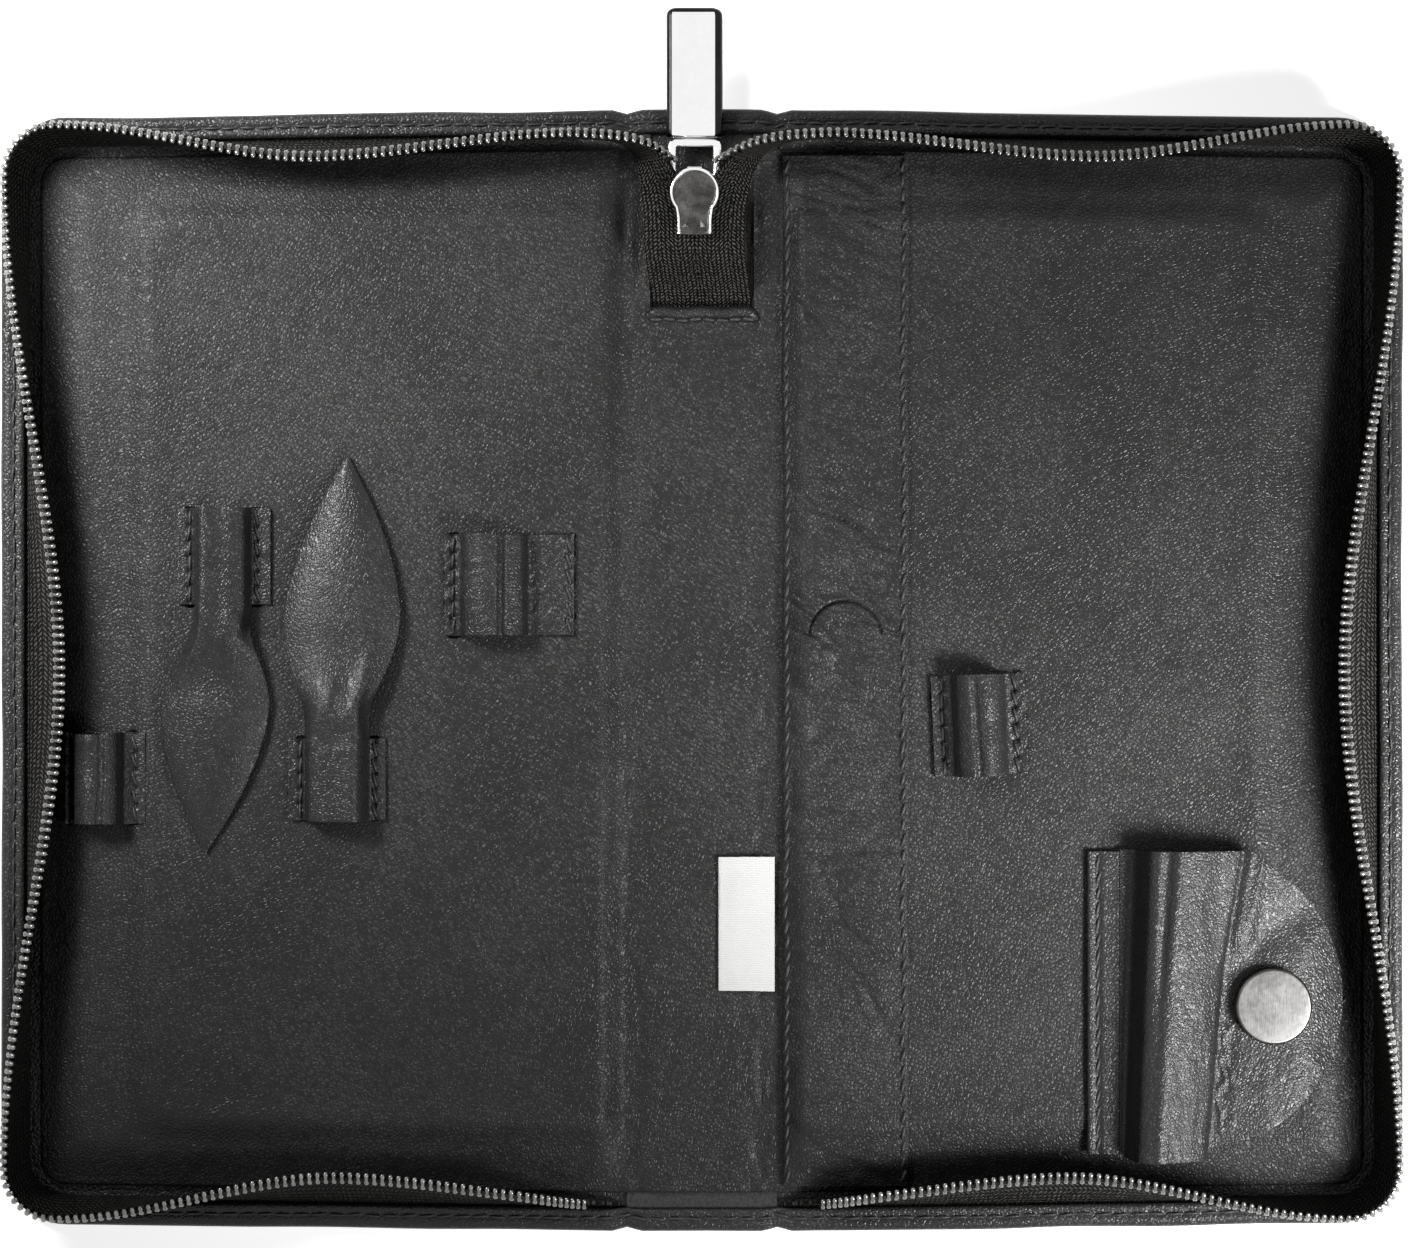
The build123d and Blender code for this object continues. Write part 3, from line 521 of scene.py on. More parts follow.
class MaterialPad(NodePad):
    """Adds the nodes of one new material."""

    def __init__(self, name: str) -> None:
        """Makes the material with its shader."""
        self.material = bpy.data.materials.new(name)
        self.material.use_nodes = True
        super().__init__(self.material.node_tree)

    def looks(self, **sockets: SocketValue) -> None:
        """Feeds the shader's sockets, with _ for a space in their names."""
        shader = self.tree.nodes["Principled BSDF"]
        for key, value in sockets.items():
            self.feed(shader.inputs[key.replace("_", " ")], value)

    def bump(self, height: Socket, depth: float) -> None:
        """Raises the surface by a height from 0 to 1, depth millimetres high."""
        bump = self.node("ShaderNodeBump", {"Height": height, "Distance": depth * MM, "Strength": 1.0})
        self.looks(Normal=bump.outputs[0])


def pebbles(pad: NodePad, given: Any) -> dict[str, Socket]:
    """Grain of dyed nappa: rounded pebbles between fine valleys, and longer creases over them."""
    place = given["Place"]
    drift = pad.cloud(place, 900.0, 1.0)["Color"]
    pushed = pad.node("ShaderNodeVectorMath", {0: drift, 3: 0.00055}, operation="SCALE").outputs[0]
    moved = pad.node("ShaderNodeVectorMath", {0: place, 1: pushed}, operation="ADD").outputs[0]

    def domed(scale: SocketValue, valley: float) -> Socket:
        """Domes over the cells of one size, with valleys of a width between them."""
        cells = pad.node("ShaderNodeTexVoronoi", {"Vector": moved, "Scale": scale}, feature="DISTANCE_TO_EDGE")
        return pad.between(cells.outputs["Distance"], 0.0, valley)

    domes, plates = domed(given["Cells"], 0.32), domed(pad.times(given["Cells"], 0.23), 0.10)
    height = pad.plus(pad.times(domes, 0.55), pad.times(plates, given["Creasing"]))
    # Crown is 1 on the domes, where the colour is lightened as wear and painted highlight.
    return {"Height": pad.plus(height, pad.times(pad.cloud(place, 4200.0)[0], 0.3)), "Crown": domes}


def weave(pad: NodePad, given: Any) -> dict[str, Socket]:
    """Woven threads over and under each other on the cloth's own coordinates; Crown marks the thread tops that get the
    painted highlight.
    """
    place, warp = given["Place"], given["Warp"]
    cut = pad.node("ShaderNodeSeparateXYZ", {0: place}).outputs
    shake = pad.times(pad.math("SUBTRACT", pad.cloud(place, 1300.0)[0], 0.5), 2.2)
    u = pad.plus(pad.times(cut[0], warp), shake)
    v = pad.plus(pad.times(cut[1], given["Weft"]), shake)
    slant = pad.plus(u, pad.math("PINGPONG", v, math.pi * 4))
    ribs, rows = (pad.math("ABSOLUTE", pad.math("SINE", wave)) for wave in (slant, v))
    loops = pad.times(pad.math("POWER", ribs, 0.7), pad.math("POWER", rows, 0.5))
    fuzz = pad.cloud(place, pad.times(warp, 0.55), 1.5)[0]
    return {"Height": pad.plus(pad.times(loops, 0.8), pad.times(fuzz, 0.35)), "Crown": pad.times(loops, fuzz)}


def patches(pad: NodePad, given: Any) -> dict[str, Socket]:
    """Slow uneven tone, as handling and dye leave it."""
    place, scale = given["Place"], given["Scale"]
    wide, small = pad.cloud(place, scale, 3.0)[0], pad.cloud(place, pad.times(scale, 9.0))[0]
    return {"Tone": pad.between(pad.plus(pad.times(wide, 0.65), pad.times(small, 0.35)), 0.3, 0.7)}


@dataclass(frozen=True)
class Finish:
    """What every finish has: the name of its material."""

    name: str


@dataclass(frozen=True)
class Leather(Finish):
    """Dyed nappa leather with a pebbled grain and a soft sheen; its colour is lighter on the grain's domes, partly
    worn crowns and partly a painted highlight, and darker in the valleys as painted shade.
    """

    # dye sits in the grain's valleys as painted shade; the lighter colour below goes on the domes as wear and painted
    # highlight.
    dye: RGB = (0.016, 0.0158, 0.0156)
    worn: RGB = (0.046, 0.0457, 0.0454)
    cells: float = 1750.0
    depth: float = 0.1
    creasing: float = 0.16
    gloss: tuple[float, float] = (0.27, 0.35)
    sheen: float = 0.13

    def build(self) -> Material:
        """Makes the material."""
        pad = MaterialPad(self.name)
        place = pad.object_place()
        grain = pad.group("pebble_grain", pebbles, place, Cells=self.cells, Creasing=self.creasing)
        tone = pad.group("uneven_tone", patches, place, Scale=45.0)["Tone"]
        # Colour lighter on the domes as wear and painted highlight, darker in the valleys as painted shade.
        pad.looks(
            Specular_IOR_Level=self.sheen,
            Base_Color=pad.tint(pad.times(grain["Crown"], tone), self.dye, self.worn),
            Roughness=pad.between(tone, 0.0, 1.0, *self.gloss),
        )
        pad.bump(grain["Height"], self.depth)
        return pad.material


@dataclass(frozen=True)
class Cloth(Finish):
    """Woven or knitted threads on the piece's own cloth coordinates; the thread crowns take a brighter colour as a
    painted highlight and the gaps a near-black one as painted shade.
    """

    # thread is the colour on the thread crowns, lifted as a painted highlight; gap is the near-black painted shade
    # between threads.
    thread: RGB = (0.078, 0.075, 0.072)
    gap: RGB = (0.003, 0.0028, 0.0026)
    warp: float = 5600.0
    weft: float = 5000.0
    depth: float = 0.26
    rough: float = 0.6
    gloss: float = 0.05
    contrast: tuple[float, float] = (0.27, 0.5)

    def build(self) -> Material:
        """Makes the material."""
        pad = MaterialPad(self.name)
        threads = pad.group("woven_threads", weave, pad.cloth_place(), Warp=self.warp, Weft=self.weft)
        lit_crown = pad.between(threads["Crown"], *self.contrast)
        # Colour runs from the painted shade in the gaps to the painted highlight on the thread crowns.
        pad.looks(
            Roughness=self.rough, Specular_IOR_Level=self.gloss, Base_Color=pad.tint(lit_crown, self.gap, self.thread)
        )
        pad.bump(threads["Height"], self.depth)
        return pad.material


@dataclass(frozen=True)
class Thread(Finish):
    """Waxed sewing thread with fine strands."""

    shade: RGB = (0.012, 0.012, 0.012)
    light: RGB = (0.05, 0.049, 0.048)

    def build(self) -> Material:
        """Makes the material."""
        pad = MaterialPad(self.name)
        strands = pad.cloud(pad.object_place(), 6500.0)[0]
        tone = pad.tint(pad.between(strands, 0.4, 0.65), self.shade, self.light)
        pad.looks(Roughness=0.45, Specular_IOR_Level=0.3, Base_Color=tone)
        pad.bump(strands, 0.05)
        return pad.material


@dataclass(frozen=True)
class Metal(Finish):
    """Plated or brushed metal with fine scratches and worn tone."""

    shine: RGB
    dull: RGB
    gloss: tuple[float, float]
    stretch: Point = (400.0, 9000.0, 9000.0)
    depth: float = 0.004
    metallic: float = 1.0
    cloud: float = 160.0

    def build(self) -> Material:
        """Makes the material."""
        pad = MaterialPad(self.name)
        place = pad.object_place()
        drawn = pad.node("ShaderNodeVectorMath", {0: place, 1: self.stretch}, operation="MULTIPLY").outputs[0]
        lines = pad.cloud(drawn, 1.0, 3.0)[0]
        tone = pad.group("uneven_tone", patches, place, Scale=self.cloud)["Tone"]
        mixed = pad.times(pad.plus(lines, tone), 0.5)
        pad.looks(
            Metallic=self.metallic,
            Base_Color=pad.tint(mixed, self.dull, self.shine),
            Roughness=pad.between(mixed, 0.2, 0.8, *self.gloss),
        )
        pad.bump(lines, self.depth)
        return pad.material


@dataclass(frozen=True)
class Filling(Finish):
    """Board, foam or felt inside the covers: fibres or pores all through."""

    light: RGB
    dark: RGB
    pores: float = 1800.0
    depth: float = 0.1

    def build(self) -> Material:
        """Makes the material."""
        pad = MaterialPad(self.name)
        place = pad.object_place()
        cells = pad.node("ShaderNodeTexVoronoi", {"Vector": place, "Scale": self.pores}).outputs["Distance"]
        mixed = pad.times(cells, pad.cloud(place, self.pores * 0.6, 4.0)[0])
        pad.looks(Roughness=0.9, Base_Color=pad.tint(pad.between(mixed, 0.1, 0.5), self.light, self.dark))
        pad.bump(mixed, self.depth)
        return pad.material


def grey(value: float) -> RGB:
    """A neutral colour."""
    return (value, value, value)


class Wardrobe:
    """Every finish of the case, each built once."""

    def __init__(self) -> None:
        """Builds the materials."""
        self.shell = Leather("shell_nappa", cells=1600.0, depth=0.09, sheen=0.24).build()
        self.lining = Leather("lining_nappa").build()
        dye, worn = (0.012, 0.0119, 0.0118), (0.034, 0.0336, 0.0332)
        self.fitting = Leather("fitting_nappa", dye, worn, 2000.0, depth=0.072, creasing=0.2, sheen=0.22).build()
        # Near-black edge finish, darker than any leather: edge paint and a painted shade outline round the sheet
        # pieces.
        self.edge = Leather("painted_edge", grey(0.003), grey(0.005), sheen=0.02).build()
        # Tape, wall and label: threads brighter on their crowns as painted highlight, gaps darker as painted shade.
        self.tape = Cloth("woven_tape").build()
        self.wall = Cloth("wall_tape", (0.062, 0.06, 0.057), warp=4300.0, weft=2100.0).build()
        thread, gap = (0.62, 0.62, 0.61), (0.49, 0.49, 0.48)
        self.label = Cloth("label_cloth", thread, gap, 12000.0, 9000.0, depth=0.03, contrast=(0.1, 0.5)).build()
        self.sewing = Thread("sewing_thread").build()
        shine, dull = (0.29, 0.286, 0.278), (0.09, 0.0885, 0.085)
        self.coil = Metal("coil_nickel", shine, dull, (0.2, 0.34), metallic=0.9).build()
        self.chrome = Metal("bright_chrome", (0.95, 0.95, 0.955), (0.86, 0.86, 0.865), (0.05, 0.11)).build()
        # Darker copy of the chrome: a painted dark reflection for the grip's rounded sides and far end.
        self.dark_chrome = Metal("dark_chrome", (0.03, 0.03, 0.031), (0.012, 0.012, 0.0125), (0.2, 0.32)).build()
        shine, dull, grain = (0.12, 0.117, 0.113), (0.015, 0.0147, 0.0143), (2500.0, 2500.0, 2500.0)
        self.satin = Metal("satin_nickel", shine, dull, (0.3, 0.45), grain, depth=0.01, cloud=520.0).build()
        shine, dull, grain = (0.135, 0.132, 0.13), (0.1, 0.098, 0.096), (9000.0, 500.0, 9000.0)
        self.brushed = Metal("brushed_gunmetal", shine, dull, (0.28, 0.4), grain, depth=0.006).build()
        self.board = Filling("grey_board", (0.3, 0.27, 0.22), (0.2, 0.18, 0.15), depth=0.03).build()
        self.foam = Filling("black_foam", grey(0.05), grey(0.02), pores=1500.0).build()
        self.felt = Filling("black_felt", grey(0.04), grey(0.015), pores=2600.0).build()


# ------------------------------ the case's plan ------------------------------


@dataclass(frozen=True)
class CasePlan:
    """Sizes that every piece is laid out from, in millimetres."""

    height: float = 169.0
    cover_width: float = 94.2
    spine_width: float = 22.6
    edge_taper: float = 1.4
    corner_radius: float = 10.0
    shell: float = 1.1
    hem_top: float = 2.7
    lining: float = 0.9
    lining_inset: float = 6.0
    pad_rise: float = 2.1
    pad_slope: float = 11.0
    fold_slope: float = 4.5
    shelf_drop: float = 0.8
    shelf_side: float = 18.4
    shelf_end: float = 12.5
    shelf_slope: float = 4.4
    board_ridge: float = 0.16
    fold_reach: float = 3.0
    slot_y: float = 54.6
    notch_half: float = 7.75
    crumple_x: tuple[float, float] = (-10.6, 8.9)
    crumple_reach: float = 3.6
    lining_round: float = 0.45

    @property
    def fold_x(self) -> float:
        """Spine's middle to a fold line."""
        return self.spine_width / 2

    @property
    def fore_x(self) -> float:
        """Spine's middle to a fore edge."""
        return self.fold_x + self.cover_width

    @property
    def pad_z(self) -> float:
        """Top of the padded panels."""
        return self.hem_top + self.pad_rise

    def edge_y(self, x: Any, inset: float = 0.0) -> Any:
        """Half height of the case at x, drawn in by inset."""
        return self.height / 2 - inset - self.edge_taper * np.maximum(x - self.fold_x, 0) / self.cover_width

    def corner(self) -> tuple[float, float]:
        """Middle of the upper right corner's arc."""
        x = self.fore_x - self.corner_radius
        return x, float(self.edge_y(x)) - self.corner_radius

    def outline(self, inset: float, steps: "OutlineSteps") -> Array:
        """Right half of the outline from the spine's middle at the top round to its middle at the bottom.

        Args:
            inset: How far the outline is drawn in.
            steps: Where its points lie.

        Returns:
            Points of shape (count, 2), as many for every inset.
        """
        cx, cy = self.corner()
        r = self.corner_radius - inset
        x = np.concatenate([steps.near, self.fold_x + (cx - self.fold_x) * steps.far])
        run = np.stack([x, self.edge_y(x, inset)], 1)
        angle = np.radians(90 * np.arange(1, steps.arc) / steps.arc)
        arc = np.stack([cx + r * np.sin(angle), cy + r * np.cos(angle)], 1)
        y = cy * steps.rows
        fore = np.stack([np.full_like(y, cx + r), y], 1)
        under = np.array([1, -1])
        return np.vstack([run, arc, fore, arc[::-1] * under, run[::-1] * under])

    def patch(self, outline: Array, steps: "OutlineSteps") -> Array:
        """Grid of points inside an outline; rows run from bottom to top, columns from the spine outwards."""
        half = len(steps.near) + len(steps.far) + steps.arc // 2
        top, bottom = outline[:half], outline[-half:][::-1]
        right = outline[half - 1 : len(outline) - half + 1][::-1]
        left = np.stack([np.zeros(len(right)), right[:, 1] * top[0, 1] / right[-1, 1]], 1)
        return coons(left, right, bottom, top)

    def inside(self, x: Array, y: Array) -> Array:
        """Distance from points to the nearest free edge of the case."""
        dx, dy = self.fore_x - np.abs(x), self.edge_y(np.abs(x)) - np.abs(y)
        qx, qy = self.corner_radius - dx, self.corner_radius - dy
        round_part = self.corner_radius - np.hypot(np.maximum(qx, 0), np.maximum(qy, 0))
        return np.where((qx > 0) & (qy > 0), round_part, np.minimum(dx, dy))

    def lining_z(self, x: Array, y: Array) -> Array:
        """Top of the lining's leather, with the life that folding and handling gave it."""
        d, ax = self.inside(x, y), np.abs(x)
        shelf = (self.pad_rise - self.shelf_drop) * smooth((d - self.lining_inset) / (0.7 * self.pad_slope))
        step = self.board_step(x, y)
        board = self.shelf_drop * smooth(step) + self.board_ridge * window(step, 1.0, 0.9)
        pad = (shelf + board) * smooth((ax - self.fold_x) / self.fold_slope)
        p = np.stack([x, y], -1)
        slow = noise(p / 26.0, 11) * 0.13 + noise(p / 11.0, 12) * 0.05
        lines = creases(p, 56.0, 14.0, 3.4, 21) * 0.09 + creases(p, -35.0, 9.0, 2.6, 31) * 0.05
        crumple = creases(p, 90.0, 9.0, 1.15, 41) * 0.6 + creases(p, 74.0, 5.0, 0.95, 51) * 0.36
        folds = sum(window(x, at, self.crumple_reach) for at in self.crumple_x) * (crumple - 0.6)
        folds = folds + window(x, 0.0, 9.0) * (creases(p, 80.0, 7.0, 1.3, 61) - 0.5) * 0.07
        drop = rounding(d - self.lining_inset, self.lining_round)
        return self.hem_top + pad + (slow + lines) * smooth(d / 12.0) + folds - drop

    def board_step(self, x: Array, y: Array) -> Array:
        """How far points are across the rise at the stiffening board's edge, 0 to 1 and beyond."""
        ax, round_off = np.abs(x), 2.2
        across = (self.fore_x - ax - self.shelf_side) / self.shelf_slope
        upper, lower = ((self.edge_y(ax) + way * y - self.shelf_end) / self.shelf_slope for way in (-1, 1))
        near = np.stack([across, upper, lower])
        return -np.log(np.exp(-round_off * np.clip(near, -3, 8)).sum(0)) / round_off


@dataclass(frozen=True)
class OutlineSteps:
    """Where the points of an outline lie.

    near holds distances from the spine's middle up to the fold; far and rows are shares of the
    runs beyond it and of the fore edge; arc is the even number of steps round a corner.
    """

    near: Array
    far: Array
    rows: Array
    arc: int

    @classmethod
    def spaced(cls, plan: CasePlan, pitch: float) -> "OutlineSteps":
        """Steps about pitch apart, with one at the notch beside the zip's tail."""
        to_notch = np.linspace(0, plan.notch_half, max(round(plan.notch_half / pitch), 2) + 1)
        to_fold = np.linspace(plan.notch_half, plan.fold_x, max(round(3.5 / pitch), 2) + 1)[1:]
        cx, cy = plan.corner()
        far = np.linspace(0, 1, round((cx - plan.fold_x) / pitch) + 1)[1:]
        rows = np.linspace(1, -1, round(2 * cy / pitch) + 1)
        return cls(np.concatenate([to_notch, to_fold]), far, rows, 2 * max(round(7.0 / pitch), 2))

    @property
    def notch(self) -> int:
        """Number of the point at the notch."""
        return int(np.argmin(np.abs(self.near - CasePlan.notch_half)))


def mirrored(surface: Surface, side: Side) -> Surface:
    """A surface built for the right side, turned over for the left."""
    if side is Side.LEFT:
        surface.moved(lambda p: p * np.array([-1.0, 1, 1])).turned()
    return surface


# ------------------------------ repeats along a line ------------------------------


class Repeat(Enum):
    """What a row is made of."""

    TOOTH = "coil_tooth"
    STITCH = "thread_stitch"


@dataclass
class RowTree:
    """Geometry nodes that stand one small bent bar on each point of a row."""

    repeat: Repeat
    bar: tuple[Point, Point, Point]
    swell: tuple[tuple[float, float], ...]
    steps: int

    def build(self) -> Tree:
        """Makes the tree with its named inputs."""
        tree = bpy.data.node_groups.new(self.repeat.value, "GeometryNodeTree")
        for key, kind, way in (
            ("Row", "NodeSocketGeometry", "INPUT"),
            ("Radius", "NodeSocketFloat", "INPUT"),
            ("Length", "NodeSocketFloat", "INPUT"),
            ("Material", "NodeSocketMaterial", "INPUT"),
            ("Row", "NodeSocketGeometry", "OUTPUT"),
        ):
            tree.interface.new_socket(name=key, in_out=way, socket_type=kind)
        pad = NodePad(tree)
        given = pad.node("NodeGroupInput").outputs
        ends = {key: tuple(v * MM for v in p) for key, p in zip(("Start", "Middle", "End"), self.bar)}
        bar = pad.node("GeometryNodeCurveQuadraticBezier", {"Resolution": self.steps, **ends})
        along = pad.node("GeometryNodeSplineParameter").outputs["Factor"]
        shape = pad.node("ShaderNodeFloatCurve", {"Value": along})
        curve = shape.mapping.curves[0]
        for place, (x, y) in enumerate(self.swell):
            if place < 2:
                curve.points[place].location = (x, y)
            else:
                curve.points.new(x, y)
        shape.mapping.update()
        ring = pad.node("GeometryNodeCurvePrimitiveCircle", {"Resolution": 6, "Radius": given["Radius"]})
        solid = pad.node(
            "GeometryNodeCurveToMesh",
            {"Curve": bar.outputs[0], "Profile Curve": ring.outputs[0], "Scale": shape.outputs[0], "Fill Caps": True},
        )
        round_off = pad.node("GeometryNodeSetShadeSmooth", {0: solid.outputs[0], "Shade Smooth": True})
        up, out = (
            pad.node("GeometryNodeInputNamedAttribute", {"Name": key}, data_type="FLOAT_VECTOR").outputs[0]
            for key in ("up", "out")
        )
        turn = pad.node("FunctionNodeAxesToRotation", {0: up, 1: out}, primary_axis="Z", secondary_axis="Y").outputs[0]
        size = pad.node("ShaderNodeCombineXYZ", {0: 1.0, 1: given["Length"], 2: 1.0}).outputs[0]
        sockets = {"Points": given["Row"], "Instance": round_off.outputs[0], "Rotation": turn, "Scale": size}
        placed = pad.node("GeometryNodeInstanceOnPoints", sockets)
        real = pad.node("GeometryNodeRealizeInstances", {0: placed.outputs[0]})
        dressed = pad.node("GeometryNodeSetMaterial", {0: real.outputs[0], "Material": given["Material"]})
        pad.node("NodeGroupOutput", {0: dressed.outputs[0]})
        return tree


class RowMaker:
    """Makes rows of teeth and rows of stitches from their places."""

    def __init__(self) -> None:
        """Builds both trees."""
        tooth = RowTree(
            Repeat.TOOTH,
            bar=((0, 0.4, -2.5), (0, 1.25, -0.15), (0, -0.35, 0.05)),
            swell=((0.0, 0.3), (1.0, 0.6), (0.15, 0.6), (0.5, 1.0), (0.74, 0.6), (0.92, 1.0)),
            steps=9,
        )
        stitch = RowTree(
            Repeat.STITCH,
            bar=((0, -0.5, -0.12), (0, 0.0, 0.34), (0, 0.5, -0.12)),
            swell=((0.0, 0.7), (1.0, 0.7), (0.25, 1.0), (0.75, 1.0)),
            steps=6,
        )
        self.trees = {tree.repeat: tree.build() for tree in (tooth, stitch)}

    def row(
        self,
        name: str,
        repeat: Repeat,
        places: Array,
        up: Array,
        out: Array,
        radius: float,
        finish: Material,
        length: float = 1.0,
    ) -> Piece:
        """Makes one row as a plain mesh.

        Args:
            name: Name of the piece.
            repeat: What stands on each place.
            places: Places of shape (count, 3), in millimetres.
            up: Direction each one stands in.
            out: For a tooth, away from the tape; for a stitch, along its row.
            radius: Thickness of the bar, in millimetres.
            finish: The row's material.
            length: Length of a stitch, in millimetres.

        Returns:
            The row's object.
        """
        mesh = bpy.data.meshes.new(name)
        mesh.from_pydata((places * MM).tolist(), [], [])
        for key, value in (("up", up), ("out", out)):
            attribute = mesh.attributes.new(key, "FLOAT_VECTOR", "POINT")
            attribute.data.foreach_set("vector", np.asarray(value, np.float32).ravel())
        obj = stand(name, mesh)
        modifier = obj.modifiers.new(repeat.value, "NODES")
        modifier.node_group = self.trees[repeat]
        values = {"Radius": radius * MM, "Length": length, "Material": finish}
        for item in modifier.node_group.interface.items_tree:
            if item.name in values:
                modifier[item.identifier] = values[item.name]
        bake(obj)
        return dress(obj, finish)

    def seam(
        self,
        name: str,
        line: Array,
        finish: Material,
        pitch: float = 2.7,
        length: float = 2.05,
        radius: float = 0.24,
        slant: float = 0.0,
    ) -> Piece:
        """Makes a row of stitches along a line on leather that lies flat.

        Args:
            name: Name of the piece.
            line: The line on the leather, of shape (count, 3), in millimetres.
            finish: The thread's material.
            pitch: Distance from stitch to stitch.
            length: Length of one stitch.
            radius: Half the thread's thickness.
            slant: How far each stitch is turned across the line.

        Returns:
            The row's object.
        """
        length_of_line = walked(line)[-1]
        count = max(round(length_of_line / pitch), 1)
        at = (np.arange(count) + 0.5) * length_of_line / count
        places, ways = stops(line, at)
        ups = np.tile(UP, (count, 1))
        side = np.cross(ups, ways)
        shift = noise(np.stack([at * 0.9, at * 0 + len(name)], 1), 5)[:, None]
        ways = unit(ways + side * (slant + 0.10 * shift))
        return self.row(name, Repeat.STITCH, places + side * 0.08 * shift, ups, ways, radius, finish, length)


# ------------------------------ outer leather and lining ------------------------------


@dataclass
class OuterLeather:
    """The turned outer leather of one half of the case, from the spine's middle outwards."""

    plan: CasePlan
    side: Side
    pitch: float = 1.1
    stitch_inset: float = 2.05
    stitch_z: float = 2.62
    profile: tuple[tuple[float, float], ...] = (
        (3.2, 1.12), (1.35, 1.12), (1.2, 1.4), (1.35, 1.66), (3.45, 1.7), (3.6, 1.8), (3.62, 2.2), (3.5, 2.5),
        (3.2, 2.68), (2.75, 2.7), (2.35, 2.6), (2.05, 2.5), (1.75, 2.6), (1.4, 2.72), (0.95, 2.72), (0.5, 2.58),
        (0.2, 2.3), (0.02, 1.85), (0.0, 1.2), (0.08, 0.65), (0.3, 0.25), (0.65, 0.05), (1.1, 0.0), (2.0, 0.0),
    )

    def lively(self, p: Array) -> Array:
        """Gives the rim the waves and dents that sewing and folding leave."""
        x, y, z = p[:, 0], p[:, 1], p[:, 2]
        d = self.plan.inside(x, y)
        rim = smooth((4.5 - d) / 2.5)
        q = np.stack([x, y], -1)
        wave = noise(q / 9.0, 3) * 0.10 + noise(q / 3.1, 4) * 0.05
        fold = window(np.abs(x), self.plan.fold_x, 2.2) * rim
        top = smooth((z - 0.9) / 1.2)
        side, end = (np.sign(v) * (np.abs(v) > 60) for v in (x, y))
        push = noise(q / 14.0, 6) * 0.16 * rim
        lift = wave * rim * top
        return np.stack([x + side * push, y - end * fold * 0.55 + end * push, z - fold * 0.45 * top + lift], 1)

    def build(self, finish: Material) -> Piece:
        """Makes the leather."""
        steps = OutlineSteps.spaced(self.plan, self.pitch)
        outlines = {inset: self.plan.outline(inset, steps) for inset, _ in self.profile}
        rings = np.stack([level(outlines[inset], z) for inset, z in self.profile])
        surface = Surface().grid(rings)
        for inset, z in (self.profile[0], self.profile[-1]):
            flat = self.plan.patch(outlines[inset], steps)
            surface.grid(np.dstack([flat, np.full(flat.shape[:2], z)]))
        mirrored(surface, self.side).moved(self.lively)
        leather = surface.piece(f"{self.side.word}_outer_leather", crease=60, close=True, turn=True)
        dress(leather, finish)
        ride_or_fold(leather)
        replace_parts(leather, f"{self.side.word}_cover_leather", "spine_leather")
        return leather

    def sew(self, rows: RowMaker, finish: Material) -> Piece:
        """Makes the stitches round the turned edge."""
        steps = OutlineSteps.spaced(self.plan, 0.5)
        flat = self.plan.outline(self.stitch_inset, steps)
        line = self.lively(level(flat * np.array([self.side.value, 1]), self.stitch_z))
        seam = rows.seam(f"{self.side.word}_rim_stitches", line, finish)
        return ride_or_fold(seam)


@dataclass
class Lining:
    """The lining of one half of the case: a padded panel, the fold beside it and half the spine."""

    plan: CasePlan
    side: Side
    pitch: float = 0.62
    rings: tuple[float, ...] = (6.0, 6.04, 6.12, 6.25, 6.45, 6.8, 7.3)

    def build(self, finish: Material) -> Piece:
        """Makes the lining."""
        plan, steps = self.plan, OutlineSteps.spaced(self.plan, self.pitch)
        outlines = np.stack([plan.outline(inset, steps) for inset in self.rings[::-1]])
        keep = np.ones((outlines.shape[0] - 1, outlines.shape[1] - 1), bool)
        keep[:, : steps.notch] = False
        surface = Surface().grid(np.dstack([outlines, np.zeros(outlines.shape[:2])]), keep)
        flat = plan.patch(outlines[0], steps)
        row = int(np.argmin(np.abs(flat[:, 0, 1] - plan.slot_y)))
        flat[row, : steps.notch + 1, 1] = plan.slot_y
        keep = np.ones((flat.shape[0] - 1, flat.shape[1] - 1), bool)
        keep[row:, : steps.notch] = False
        surface.grid(np.dstack([flat, np.zeros(flat.shape[:2])]), keep)
        mirrored(surface, self.side)
        surface.moved(lambda p: np.column_stack([p[:, :2], plan.lining_z(p[:, 0], p[:, 1])]))
        sheet = thicken(surface.piece(f"{self.side.word}_lining"), plan.lining - 0.05)
        dress(sheet, finish)
        ride_or_fold(sheet)
        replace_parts(sheet, f"{self.side.word}_cover_lining", "spine_lining")
        return sheet


# ------------------------------ zip ------------------------------


Stations = tuple[Array, Array, Array, Array]


